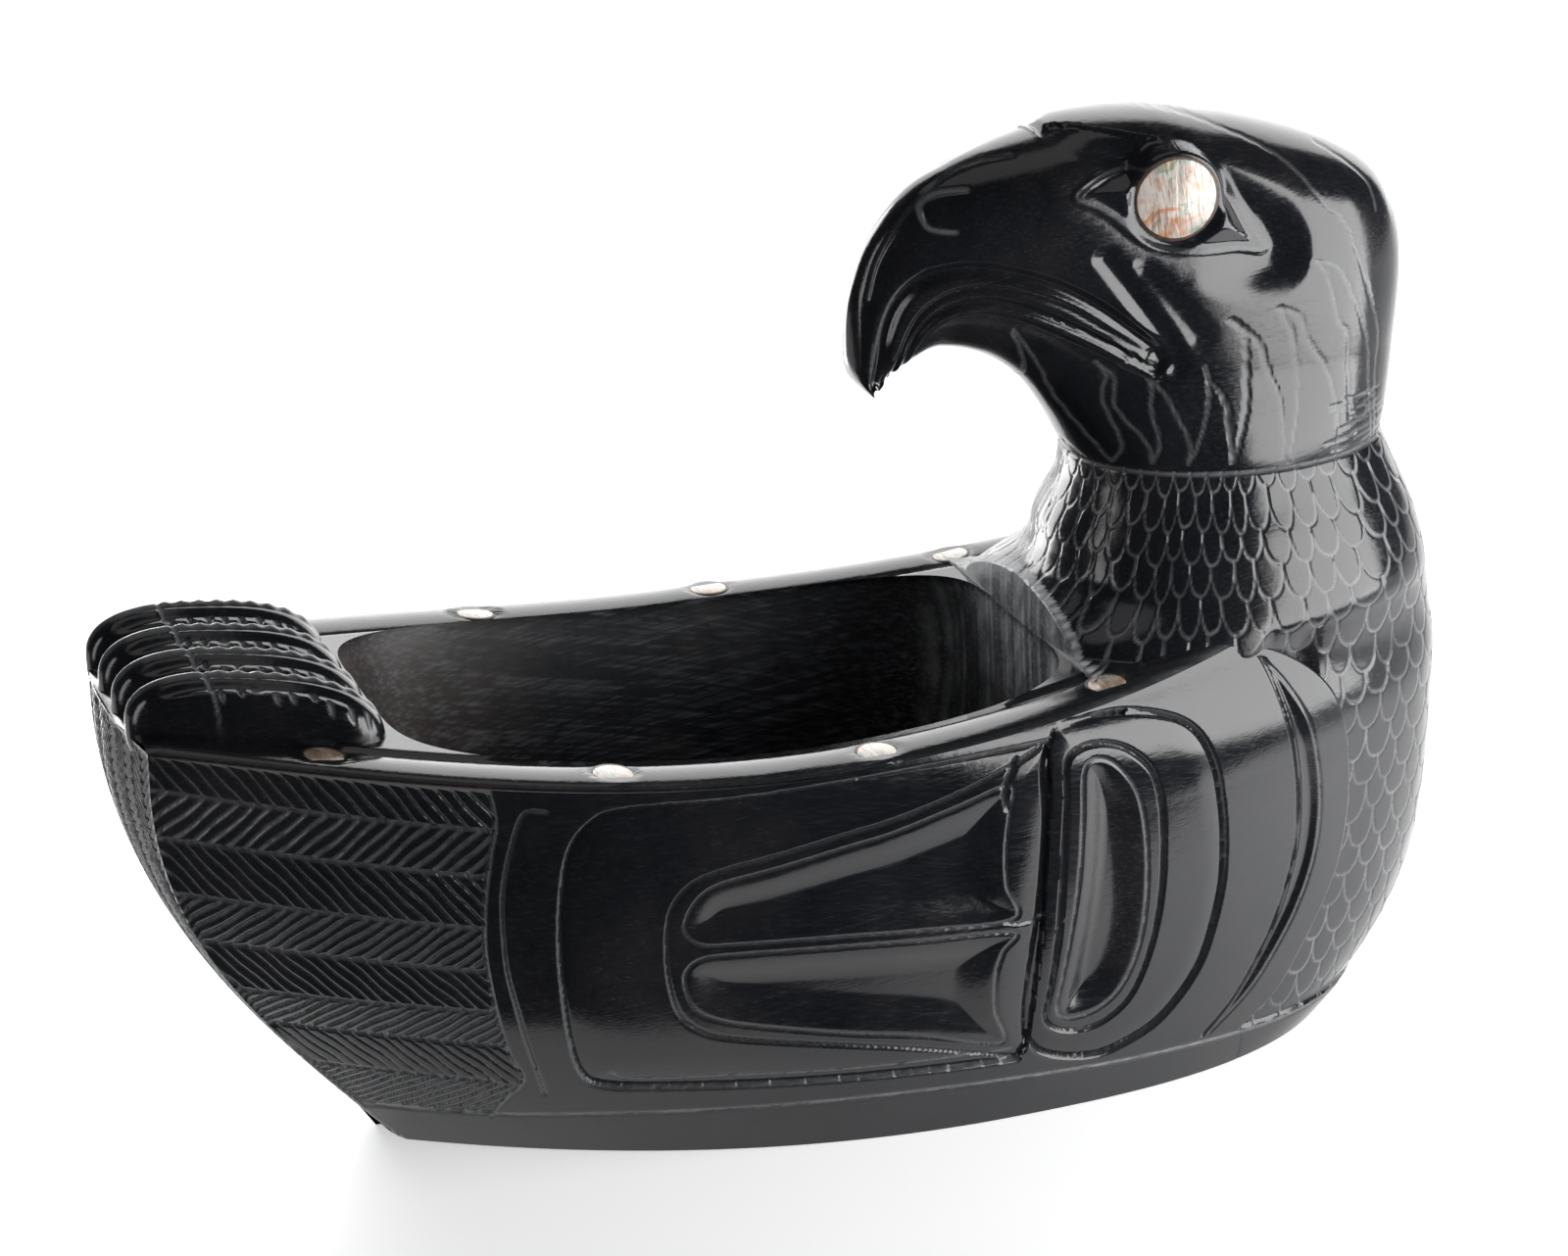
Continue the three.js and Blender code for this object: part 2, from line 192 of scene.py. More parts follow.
def plan(level):
    """The plan of the bowl at a level from 0 at the base to 1 at the rim."""
    below = np.minimum(1, level / 0.75)
    above = np.clip((level - 0.75) / 0.25, 0, 1)
    base = BREAST - 28.5
    return {
        "stern": STERN + TRANSOM_BULGE + 64.5 * (1 - np.sin(np.pi / 2 * np.minimum(1, 1.08 * level))),
        "breast": base + 28.5 * (1 - (1 - below) ** 4 - 0.075 * above**2),
        "widest": mix(mix(base - 112.5, BREAST - 170, below), BREAST - 196, above**2),
        "stern_half": mix(20, 67, np.sin(np.pi / 2 * level)) / 2,
        "half": mix(112.6, BREADTH, 1 - (1 - np.minimum(1, level)) ** 1.5) / 2,
        "stern_power": mix(2.1, 2.45, level),
        "breast_power": mix(2.6, 1.5, above**2),
    }


def half_breadth(x, level):
    """Half the bowl's breadth at x, at a level from 0 at the base to 1 at the rim."""
    p = plan(level)
    aft = np.clip((p["widest"] - x) / (p["widest"] - p["stern"]), 0, 1)
    fore = np.clip((x - p["widest"]) / (p["breast"] - p["widest"]), 0, 1)
    behind = mix(p["half"], p["stern_half"], aft ** p["stern_power"])
    ahead = p["half"] * np.sqrt(np.maximum(0, 1 - fore ** p["breast_power"]))
    return np.where(x < p["widest"], behind, ahead)


def curve(points, closed=False, step=0.8):
    """A smooth line through a few points, as points a step apart."""
    p = np.array(points, float)
    ends = (p[-1:], p[:2]) if closed else (p[:1], p[-1:])
    p = np.vstack([ends[0], p, ends[1]])
    line = []
    for a, b, c, d in zip(p[:-3], p[1:-2], p[2:-1], p[3:]):
        t = np.linspace(0, 1, max(2, int(np.hypot(*(c - b)) / step)), endpoint=False)[:, None]
        line.append(0.5 * (2 * b + (c - a) * t + (2 * a - 5 * b + 4 * c - d) * t**2
                           + (3 * b - 3 * c + d - a) * t**3))
    line.append(p[-2:-1])
    return np.vstack(line)


def between(field, down, along):
    """A field's values at places that lie between its crossings."""
    i, j = down.astype(int), along.astype(int)
    a, b = down - i, along - j
    return (field[i, j] * (1 - a) * (1 - b) + field[i + 1, j] * a * (1 - b)
            + field[i, j + 1] * (1 - a) * b + field[i + 1, j + 1] * a * b)


class Net:
    """Depth of cut and chalk over a flat view of a surface, in millimetres, on a fine square net."""

    def __init__(self, low, high, cell=0.25):
        self.low, self.cell = low, cell
        self.u = np.arange(low[0], high[0], cell)
        self.v = np.arange(low[1], high[1], cell)
        self.depth = np.zeros((len(self.u), len(self.v)))
        self.chalk = np.zeros_like(self.depth)

    def around(self, line, reach):
        """The part of the net within reach of a line, and its distance from the line there."""
        i0, i1 = np.searchsorted(self.u, (line[:, 0].min() - reach, line[:, 0].max() + reach))
        j0, j1 = np.searchsorted(self.v, (line[:, 1].min() - reach, line[:, 1].max() + reach))
        part = (slice(i0, i1), slice(j0, j1))
        field = np.full((i1 - i0, j1 - j0), float(reach))
        for a, b in zip(line[:-1], line[1:]):
            low, high = np.minimum(a, b) - reach, np.maximum(a, b) + reach
            k0, k1 = np.searchsorted(self.u[part[0]], (low[0], high[0]))
            l0, l1 = np.searchsorted(self.v[part[1]], (low[1], high[1]))
            if k1 <= k0 or l1 <= l0:
                continue
            du = self.u[i0 + k0:i0 + k1, None] - a[0]
            dv = self.v[None, j0 + l0:j0 + l1] - a[1]
            way = b - a
            t = np.clip((du * way[0] + dv * way[1]) / max(way @ way, 1e-9), 0, 1)
            gap = np.hypot(du - t * way[0], dv - t * way[1])
            np.minimum(field[k0:k1, l0:l1], gap, out=field[k0:k1, l0:l1])
        return part, field

    def near(self, line, reach):
        """Distance from a line all over the net, up to a reach."""
        field = np.full_like(self.depth, reach)
        part, gap = self.around(line, reach)
        field[part] = gap
        return field

    def within(self, line):
        """True inside a closed line."""
        inside = np.zeros(self.depth.shape, bool)
        for a, b in zip(line, np.roll(line, -1, axis=0)):
            if a[0] == b[0]:
                continue
            i0, i1 = np.searchsorted(self.u, sorted((a[0], b[0])))
            height = a[1] + (b[1] - a[1]) * (self.u[i0:i1] - a[0]) / (b[0] - a[0])
            inside[i0:i1] ^= self.v[None, :] < height[:, None]
        return inside

    def groove(self, line, width, depth, chalk=0.0):
        """A sharp cut along a line, with chalk left in it."""
        part, gap = self.around(line, width / 2)
        cut = np.clip(1 - gap / (width / 2), 0, 1)
        self.depth[part] -= depth * cut
        self.chalk[part] = np.maximum(self.chalk[part], chalk * cut)

    def valley(self, line, width, depth):
        """A soft round-bottomed furrow along a line."""
        part, gap = self.around(line, width / 2)
        self.depth[part] -= depth * smooth(1 - gap / (width / 2))

    def hollow(self, line, depth, slope):
        """Sinks the inside of a closed line, its sides sloping in over a distance."""
        t = self.near(line, slope) / slope * self.within(line)
        self.depth -= depth * smooth(t)

    def undercut(self, line, depth, fade):
        """Sinks the inside of a closed line at its edge, rising again over a distance."""
        t = self.near(line, fade) / fade
        self.depth -= depth * (1 - t) ** 2 * self.within(line)

    def sample(self, u, v):
        """Depth and chalk at points."""
        fu = np.clip((u - self.low[0]) / self.cell, 0, len(self.u) - 1.001)
        fv = np.clip((v - self.low[1]) / self.cell, 0, len(self.v) - 1.001)
        return between(self.depth, fu, fv), between(self.chalk, fu, fv)


def read(items, what):
    """A place or direction for each of a mesh's points or faces, a row each."""
    flat = np.empty(3 * len(items), np.float32)
    items.foreach_get(what, flat)
    return flat.reshape(-1, 3).astype(float)


def move(mesh, points):
    """Puts a mesh's points at places given in millimetres."""
    mesh.vertices.foreach_set("co", (points * MM).astype(np.float32).ravel())
    mesh.update()


def lay(mesh, label, values):
    """Keeps a value for each point of a mesh, for its material to read."""
    layer = mesh.attributes.new(label, "FLOAT", "POINT")
    layer.data.foreach_set("value", values.astype(np.float32))


def skin(name, columns, rows, place, material, relief=None, core=None):
    """A closed piece: a grid bent by place(u, v), cut by relief(points, u, v), then sewn up.

    core(points) gives a place inside the stone for each point, so that a cut goes inwards.
    """
    grid = bmesh.new()
    bmesh.ops.create_grid(grid, x_segments=columns, y_segments=rows, size=0.5)
    mesh = bpy.data.meshes.new(name)
    grid.to_mesh(mesh)
    grid.free()
    corners = read(mesh.vertices, "co")
    u = np.round((corners[:, 0] + 0.5) * columns) / columns
    v = np.round((corners[:, 1] + 0.5) * rows) / rows
    points = place(u, v)
    move(mesh, points)
    if relief is not None:
        normal = read(mesh.vertex_normals, "vector")
        away = np.sign(np.sum(normal * (points - core(points)), axis=1))
        depth, chalk = relief(points, u, v)
        move(mesh, points + normal * (away * depth)[:, None])
        lay(mesh, "chalk", chalk)
    sewn = bmesh.new()
    sewn.from_mesh(mesh)
    bmesh.ops.remove_doubles(sewn, verts=sewn.verts, dist=0.002 * MM)
    rim = [e for e in sewn.edges if e.is_boundary]
    if rim:
        bmesh.ops.holes_fill(sewn, edges=rim, sides=0)
    bmesh.ops.recalc_face_normals(sewn, faces=sewn.faces)
    sewn.to_mesh(mesh)
    sewn.free()
    return finish_piece(name, mesh, material)


def finish_piece(name, mesh, material):
    """A piece of the bowl: smooth shaded, with its edges kept sharp."""
    mesh.shade_smooth()
    mesh.set_sharp_from_angle(angle=math.radians(50))
    mesh.materials.append(material)
    piece = bpy.data.objects.new(name, mesh)
    bpy.context.scene.collection.objects.link(piece)
    return piece


def stone(piece):
    """Makes a piece part of the one stone block."""
    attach(piece, "root")
    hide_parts("stone_body")


# The wing's design, drawn on the side view as x from the middle and height above the table.
wing = Net((-184, -1), (150, 134))

base_line = curve([(-122, 15), (-100, 14), (-60, 14.5), (0, 13.5), (60, 11), (100, 9.5), (146, 6)])
wing.groove(base_line, 1.3, 0.5, 0.55)

panel = curve([(40, 107.5), (5, 107), (-40, 106.5), (-70, 107.5), (-79, 104.5), (-84, 96), (-85.5, 80),
               (-84.5, 62), (-81, 41), (-77, 28.5), (-71, 24), (-55, 22.5), (-12, 20), (36, 17.5)])
panel_area = np.vstack([panel, [(39, 22), (41, 60), (41, 104)]])
wing.undercut(panel_area, 1.5, 11)
wing.groove(panel, 1.5, 0.55, 0.3)
panel_inner = curve([(-70, 28.5), (-64, 26), (-40, 25), (-12, 23), (34, 21)])
wing.groove(panel_inner, 1.1, 0.35, 0.3)

feather = curve([(39, 106.5), (30, 103), (14, 98), (-2, 94), (-15, 92), (-33, 89), (-46, 87), (-54, 84),
                 (-58.5, 77), (-59, 66), (-57.5, 55), (-54.5, 46), (-49, 40.5), (-40, 37), (-12, 31),
                 (9, 26), (35, 18)])
wing.groove(feather, 1.6, 0.9, 0.12)
upper_cell = curve([(29, 98), (14, 94.5), (-2, 90.5), (-15, 88.5), (-33, 85.5), (-46, 83.5), (-51.5, 80.5),
                    (-54.5, 75), (-54.5, 70.5), (-50, 66.5), (-40, 65.5), (-14, 63.5), (7, 61.5), (32, 60),
                    (29.5, 70), (28.5, 80), (29, 90)], closed=True)
lower_cell = curve([(32, 56), (7, 58.5), (-14, 60.5), (-40, 62.5), (-50, 62.5), (-54, 59), (-53.5, 53),
                    (-50.5, 47), (-45, 43.5), (-36, 40.5), (-12, 34.5), (9, 30), (31, 23.5), (28.5, 34),
                    (28, 44), (29.5, 51)], closed=True)
for cell in (upper_cell, lower_cell):
    wing.hollow(cell, 2.6, 11.0)
    wing.groove(cell, 1.3, 0.5, 0.14)
wing.groove(curve([(31, 104), (28, 98), (28.5, 92)]), 2.2, 1.2, 0.15)
split_end = curve([(30, 59.5), (33, 58.5), (40, 58)])
wing.groove(split_end, 1.3, 0.6, 0.2)

joint_back = curve([(42, 109), (38.5, 101), (39.5, 84), (38.8, 60), (37.5, 44), (37, 32), (38, 22)])
wing.groove(joint_back, 1.8, 1.0, 0.08)
joint = curve([(45, 111), (58, 111), (68, 109.5), (78, 106), (84, 101), (88, 93), (90.5, 84), (92.5, 72),
               (93, 58), (91, 45), (88, 35), (82, 26), (74, 19), (61, 14.5), (50, 15.5), (42, 19),
               (38, 24)])
wing.groove(joint, 2.0, 1.3, 0.1)
joint_area = np.vstack([joint, joint_back[::-1]])
wing.undercut(joint_area, 1.0, 7)
eyelike = curve([(45, 101), (49, 104), (56, 104), (63, 101), (69, 95), (72, 87), (73.5, 77), (74.2, 64),
                 (73.5, 51), (71, 39), (67, 30), (61, 25), (54, 23.2), (47, 24.5), (43, 29), (44, 40),
                 (45, 55), (45, 75), (45, 90)], closed=True)
wing.groove(eyelike, 1.9, 1.3, 0.1)
pool = curve([(49.5, 97), (52, 100.5), (57, 99.5), (62, 94.5), (66, 87), (68.5, 76), (69.7, 63), (69.5, 50),
              (67, 39), (62.5, 31.5), (56, 27.8), (49, 27.5), (46, 31), (47, 40), (48.5, 52), (49.8, 68),
              (49.8, 84)], closed=True)
wing.hollow(pool, 3.0, 9.0)
wing.groove(pool, 1.3, 0.5, 0.22)

crescent_back = curve([(106, 115), (108.5, 108), (111.5, 98), (114.5, 86), (116.2, 74), (116, 60),
                       (112, 44), (106, 31), (99, 20), (91, 12)])
crescent_front = curve([(106, 115), (112, 108), (118, 98), (122, 86), (124.2, 72), (123.5, 58), (119.5, 45),
                        (113, 33), (105, 22), (93, 12)])
crescent = np.vstack([crescent_back, crescent_front[::-1]])
wing.hollow(crescent, 1.5, 3)
wing.groove(crescent_back, 1.5, 0.9, 0.1)
wing.groove(crescent_front, 1.3, 0.5, 0.15)

wing_edge = curve([(86, 121), (97, 119.5), (106, 118), (114, 114.5), (122, 109), (128, 102), (132, 92),
                   (134.5, 80), (135, 66), (133, 52), (129, 42), (123, 31), (115, 18.5), (104, 10.5)])
wing.depth -= 0.5 * np.clip(1 - wing.near(wing_edge, 1.3) / 1.3, 0, 1) ** 2

# The stern feathers: eight bands of slanting barbs, the slant turning with each band. Each line
# between two bands has its height at one x, and its slope from there to the stern.
BAND_X = -111
band_fore = np.array([120.5, 106, 93, 78, 65, 52, 41, 28, 14.5])
band_slope = np.array([0.11, 0.18, 0.185, 0.18, 0.17, 0.135, 0.14, 0.125, 0.1])
feather_end = curve([(-104.5, 122), (-101, 108), (-102, 96), (-103, 84), (-102.5, 70), (-100.5, 58),
                     (-98, 47), (-94.5, 36), (-90.5, 27), (-94, 19), (-96, 13)])
feather_area = np.vstack([feather_end, [(-96, 12), (-200, 12), (-200, 140), (-104, 140)]])
U, V = np.meshgrid(wing.u, wing.v, indexing="ij")
in_feathers = wing.within(feather_area)
feathered = in_feathers & (V > 13.8)
lines = band_fore[:, None, None] + band_slope[:, None, None] * (BAND_X - U)[None]
barbs = np.zeros_like(wing.depth)
dust = np.zeros_like(wing.depth)
for k in range(8):
    high, low = lines[k], lines[k + 1]
    share = (V - low) / (high - low)
    lean = 1 if k % 2 == 0 else -1
    wobble = 0.35 * np.sin(U * 0.21 + 2 * k) + 0.25 * np.sin(U * 0.57 + k)
    phase = (U + lean * (V - low) * (0.8 + 0.05 * k) + wobble) / (3.95 - 0.1 * k) % 1
    line = np.clip((np.abs(2 * phase - 1) - 0.64) / 0.36, 0, 1)
    cut = 0.75 * line + 0.4 * phase
    inside = (share >= 0) & (share < 1)
    ends = np.clip(np.minimum(share, 1 - share) * (high - low) / 0.9, 0, 1)
    barbs = np.where(inside, cut * mix(0.55, 1, ends), barbs)
    dust = np.where(inside, (0.34 if lean > 0 else 0.5) * line, dust)
wing.depth -= np.where(feathered, barbs + 0.25, 0)
wing.chalk = np.where(feathered, np.maximum(wing.chalk, dust), wing.chalk)
for k in range(1, 8):
    x = np.linspace(-181, -98, 60)
    line = np.column_stack([x, band_fore[k] + band_slope[k] * (BAND_X - x)])
    i, j = ((line - wing.low) / wing.cell).astype(int).T
    wing.groove(line[in_feathers[i, j]], 1.5, 0.8, 0.3)
wing.groove(feather_end, 1.3, 0.6, 0.35)
wing.groove(curve([(-89, 108.5), (-94.5, 108.5), (-97.5, 98), (-99, 87), (-98.5, 75), (-97, 63), (-94, 51),
                   (-91, 40), (-88, 31), (-85, 22)]), 1.4, 0.8, 0.25)


def keel(points):
    """The nearest place on a line along the middle of the block."""
    inner = points.copy()
    inner[:, 0] = np.clip(points[:, 0], -100, 110)
    inner[:, 1] = 0
    return inner


# A slab's top edge turns in under the rim by this much, and drops by this much.
LIP = 6.0
LIP_DROP = 2.5


def flank(name, side, columns, rows, station, relief):
    """A slab of the bowl's side: from the keel round the base edge, up to the rim and back inside."""
    up = int(rows * FINE)
    stops = np.cumsum([0, 6, up, 3, 6, 3, 1])

    def place(u, v):
        row = v * stops[-1]
        share = [np.clip((row - a) / (b - a), 0, 1) for a, b in zip(stops[:-1], stops[1:])]
        level = np.where(row <= stops[3], share[1], 1 - 0.93 * share[3])
        x, y = station(u, level)
        top_x, _ = station(u, np.ones_like(u))
        z = level * (sheer(top_x) - RIM_ROLL)
        points = np.column_stack([x, y, z])
        points[:, 1] *= np.where(row < stops[1], share[0], 1)
        way = keel(points) - points
        far = np.maximum(np.hypot(way[:, 0], way[:, 1]), 1e-6)
        sunk = np.minimum(LIP * share[2], far) / far * (row > stops[2])
        points[:, :2] += way[:, :2] * sunk[:, None]
        points[:, 2] -= LIP_DROP * share[2] * (row > stops[2]) * (row <= stops[3])
        points[:, 1] *= 1 - share[4]
        points[:, 2] = np.where(row > stops[5], points[:, 2] * (1 - share[5]), points[:, 2])
        points[:, 1] *= side
        return points

    def cut(points, u, v):
        row = v * stops[-1]
        depth, chalk = relief(points, u)
        face = (row >= stops[1]) & (row <= stops[2])
        level = (row - stops[1]) / up
        keep = smooth(np.minimum(level, 1 - level) * 60) * face
        return depth * keep, chalk * keep

    columns = int(columns * FINE)
    return skin(name, columns, stops[-1], place, polished, cut, keel)


# The three slabs of a side meet at these places along it. CORNER is where the stern's slab turns the
# transom's corner, as a share of its run, and a band of barbs on the transom is TRANSOM_BAND wide.
FEATHER_AFT = -88.0
FEATHER_FORE = 37.0
CORNER = 0.72
TRANSOM_BAND = 5.6


def stern_station(u, level):
    """From a cut across the bowl, back to the transom's corner, then across the transom."""
    p = plan(level)
    run = np.clip(u / CORNER, 0, 1)
    x = mix(FEATHER_AFT, p["stern"], run)
    y = half_breadth(x, level)
    across = 1 - np.clip((u - CORNER) / (1 - CORNER), 0, 1)
    behind = u > CORNER
    x = np.where(behind, p["stern"] - TRANSOM_BULGE * (1 - across**2), x)
    return x, np.where(behind, p["stern_half"] * across, y)


def stern_relief(points, u):
    """The wing's design on the side, and upright bands of barbs on the transom."""
    depth, chalk = wing.sample(points[:, 0], points[:, 2])
    z = points[:, 2]
    column = np.abs(points[:, 1]) / TRANSOM_BAND
    part = column % 1
    lean = np.where(np.floor(column) % 2 == 0, 1, -1)
    phase = (z + lean * part * TRANSOM_BAND * 1.3 + 0.3 * np.sin(z * 0.3)) / 3.0 % 1
    barb = 0.9 * np.clip((np.abs(2 * phase - 1) - 0.25) / 0.75, 0, 1)
    spine = 0.6 * np.clip(1 - np.minimum(part, 1 - part) * TRANSOM_BAND / 0.6, 0, 1)
    behind = u > CORNER
    border = smooth((u - CORNER) / 0.02)
    depth = np.where(behind, -(barb + spine) * border - 0.1, depth * smooth((CORNER - u) / 0.012))
    return depth, np.where(behind, 0.12, chalk)


def feather_station(u, level):
    x = mix(FEATHER_AFT, FEATHER_FORE, u)
    return x, half_breadth(x, level)


def joint_station(u, level):
    """Forward to the wing's curved front edge, then straight in to the middle of the block."""
    edge = np.interp(level * 119.5, wing_edge[::-1, 1], wing_edge[::-1, 0])
    x = mix(FEATHER_FORE, edge, np.clip(u / 0.99, 0, 1))
    return x, half_breadth(x, level) * np.where(u > 0.995, 0, 1)


def wing_relief(points, u):
    return wing.sample(points[:, 0], points[:, 2])


for side, side_name in ((-1, "starboard"), (1, "port")):
    stone(flank(f"{side_name}_tail_feathers", side, 300, 285, stern_station, stern_relief))
    stone(flank(f"{side_name}_wing_feather", side, 270, 256, feather_station, wing_relief))
    stone(flank(f"{side_name}_wing_joint", side, 240, 256, joint_station, wing_relief))

# ---- Rim and hollow ----
# The rim is the same stone, rounded over and polished by handling. The hollow inside is scraped
# smooth, paler and duller than the outside, and its fore wall stands straight up to the neck.
hollowed = argillite("scraped argillite", 0.24, 0.6, 0.3, 0.42)
HOLLOW_AFT = STERN + 64
HOLLOW_FORE = BREAST - 121
SQUARENESS = 5.56
FLOOR = 16.0
DISC_X = [STERN + 43.5 + 66.6 * i for i in range(4)]
DISC_INSET = [8.2, 7.3, 5.9, 7.2]
DISC_SEAT = 0.42

# The rim's outer edge, by the angle round from the bow: across the neck's foot to the first corner,
# along the side to the second, then across the stern.
FORE_CORNER, STERN_CORNER = 38, 128
FORE_X = 103.0
UNDER_NECK = 130.0
STERN_HALF = 33.5

# The hidden underside lies this far below the rim and the hollow.
UNDER_RIM = 4.0
UNDER_HOLLOW = 3.0
CENTRE_X = 20

# The hollow from its middle out and up: shares of the run, of the way out and of the way up.
hollow_run = [0, 0.34, 0.41, 0.45, 0.48, 0.5, 1.0]
hollow_out = [0, 0.6, 0.82, 0.93, 0.98, 1, 1]
hollow_up = [0, 0, 0.02, 0.06, 0.12, 0.2, 1]
STEPS = np.cumsum([0, int(20 * FINE), int(50 * FINE), int(26 * FINE), 3, 5, 10, 5])


def rim_place(u, v):
    """Up the hollow from its middle, out over the rim, then back below both to the start."""
    angle = 2 * np.pi * u
    c, s = np.cos(angle), np.sin(angle)
    spread = (np.abs(c) ** SQUARENESS + np.abs(s) ** SQUARENESS) ** (1 / SQUARENESS)
    c, s = c / spread, s / spread
    row = v * STEPS[-1]
    share = [np.clip((row - a) / (b - a), 0, 1) for a, b in zip(STEPS[:-1], STEPS[1:])]
    down = np.where(row > STEPS[5], 1 - share[5], 1)
    run = np.where(row <= STEPS[3], share[0] * 0.5 + share[1] * 0.5, down * 0.5 + 0.5)
    run = np.where(row > STEPS[6], (1 - share[6]) * 0.5, run)
    radius = np.interp(run, hollow_run, hollow_out)
    level = mix(FLOOR / RIM_HEIGHT, 1.0, np.interp(run, hollow_run, hollow_up))
    aft = HOLLOW_AFT + 42 * np.clip(1 - level, 0, 1) ** 1.2
    middle = (aft + HOLLOW_FORE) / 2
    x = middle + (HOLLOW_FORE - aft) / 2 * c
    y = (half_breadth(x, level) - RIM_BAND) * s
    at = mix(middle, x, radius)
    inner = np.column_stack([at, radius * y, level * sheer(at)])
    turned = np.degrees(np.arccos(np.clip(np.cos(angle), -1, 1)))
    side_x = np.interp(turned, [FORE_CORNER, STERN_CORNER], [FORE_X, STERN + TRANSOM_BULGE])
    fore = turned < FORE_CORNER
    outer_x = np.where(fore, mix(UNDER_NECK, FORE_X, turned / FORE_CORNER), side_x)
    fore_y = half_breadth(np.full_like(u, FORE_X), 1.0) * turned / FORE_CORNER
    outer_y = np.where(fore, fore_y, half_breadth(side_x, np.ones_like(side_x)))
    across = np.clip((180 - turned) / (180 - STERN_CORNER), 0, 1)
    outer_y = np.where(turned > STERN_CORNER, STERN_HALF * across, outer_y)
    outer_x = np.where(turned > STERN_CORNER, STERN + TRANSOM_BULGE * across**2, outer_x)
    outer_y = outer_y * np.sign(np.sin(angle) + 1e-12)
    under = row > STEPS[3]
    band = np.where(row > STEPS[2], np.where(under, 1 - share[4], share[2]), 0)
    points = inner.copy()
    points[:, 0] = mix(inner[:, 0], outer_x, band)
    points[:, 1] = mix(inner[:, 1], outer_y, band)
    inset = np.maximum(0, half_breadth(points[:, 0], np.ones_like(u)) - np.abs(points[:, 1]))
    inset = np.where(points[:, 0] < STERN + 25, np.minimum(inset, points[:, 0] - STERN), inset)
    bulge = np.clip((inset - 7.2) / 6.6, -1.15, 1.0)
    crown = 0.05 - 1.0 * np.abs(bulge) ** 2.0 - 0.5 * np.abs(bulge) ** 10
    crown = crown * smooth((16.5 - inset) / 3.0)
    edge = np.where((points[:, 0] < HOLLOW_AFT + 3) | (points[:, 0] > HOLLOW_FORE - 1), 0, 1)
    flat_top = sheer(points[:, 0]) + np.where(band < 0.02, -1.2 * edge, crown)
    on_band = (row > STEPS[2]) & (row <= STEPS[5])
    points[:, 2] = np.where(on_band, flat_top, inner[:, 2])
    for i, x_disc in enumerate(DISC_X):
        y_disc = half_breadth(np.array(x_disc), 1.0) - DISC_INSET[i]
        gap = np.hypot(points[:, 0] - x_disc, np.abs(points[:, 1]) - y_disc)
        slope = (sheer(x_disc + 1) - sheer(x_disc - 1)) / 2
        seat = sheer(x_disc) - DISC_SEAT + slope * (points[:, 0] - x_disc)
        blend = smooth((6.6 - gap) / 1.2) * on_band
        points[:, 2] = mix(points[:, 2], seat, blend)
    points[:, 2] -= UNDER_RIM * under
    toward = np.hypot(points[:, 0] - CENTRE_X, points[:, 1])
    pull = under * UNDER_RIM * smooth(band * 20) / np.maximum(toward, 1)
    deep = under & (row > STEPS[4])
    push = deep * UNDER_HOLLOW * radius / np.maximum(toward, 1)
    points[:, 0] += (points[:, 0] - CENTRE_X) * (push - pull)
    points[:, 1] += points[:, 1] * (push - pull)
    return points


rim = skin("rim_and_hollow", int(600 * FINE), int(STEPS[-1]), rim_place, hollowed)
rim.data.materials.append(polished)
centres = read(rim.data.polygons, "center") / MM
facing_up = read(rim.data.polygons, "normal")[:, 2] > 0.3
on_top = (centres[:, 2] > sheer(centres[:, 0]) - 2.0) & facing_up
rim.data.polygons.foreach_set("material_index", on_top.astype(np.int32))
streak_place = np.linspace(-60, 60, 90)
streak_light = rng.uniform(0, 1, 90) ** 1.5


def bloom_on_wall(points):
    """Chalky upright streaks on the hollow's fore wall."""
    y, z = points[:, 1], points[:, 2]
    streak = np.interp(y + 1.5 * np.sin(z * 0.09), streak_place, streak_light)
    mottle = 0.6 + 0.4 * np.sin(z * 0.31 + 3 * np.sin(y * 0.23)) * np.sin(z * 0.13 + y * 0.4)
    return 0.1 + 0.6 * smooth((points[:, 0] - HOLLOW_FORE + 12) / 10) * streak * mottle


points = read(rim.data.vertices, "co") / MM
x, z = points[:, 0], points[:, 2]
below_rim = smooth((sheer(x) - z) / 3)
lay(rim.data, "chalk", below_rim * (bloom_on_wall(points) - 0.1 + 0.1 * smooth((z - 60) / 60)))
lay(rim.data, "wear", 0.55 * below_rim * smooth((-50 - x) / 45) * smooth((z - 50) / 40))
stone(rim)

# ---- Neck and breast ----
# The neck rises out of the block behind the hollow. Small scale-shaped feathers are scratched all
# over it and down the breast as far as the base, finer and closer on the throat.
NECK_X = BREAST - 63
NECK_LINE = RIM_HEIGHT + 48.5
# The neck's oval at a few heights over the rim: how far in from the breast it starts, and how much
# longer and broader it is than where the head begins.
SECTIONS = np.array([(-50, 10, 18, 6), (-15, 6, 34, 14), (6, 4.5, 44, 18), (18, 7, 22, 13),
                     (30, 11, 14, 8), (41, 16.5, 3.5, 2.5), (48.5, 19.5, 0, 0), (60.5, 18, -1, -2)], float)
AXIS = 112.0
SILL = 113.8
WALL_TOP = 140

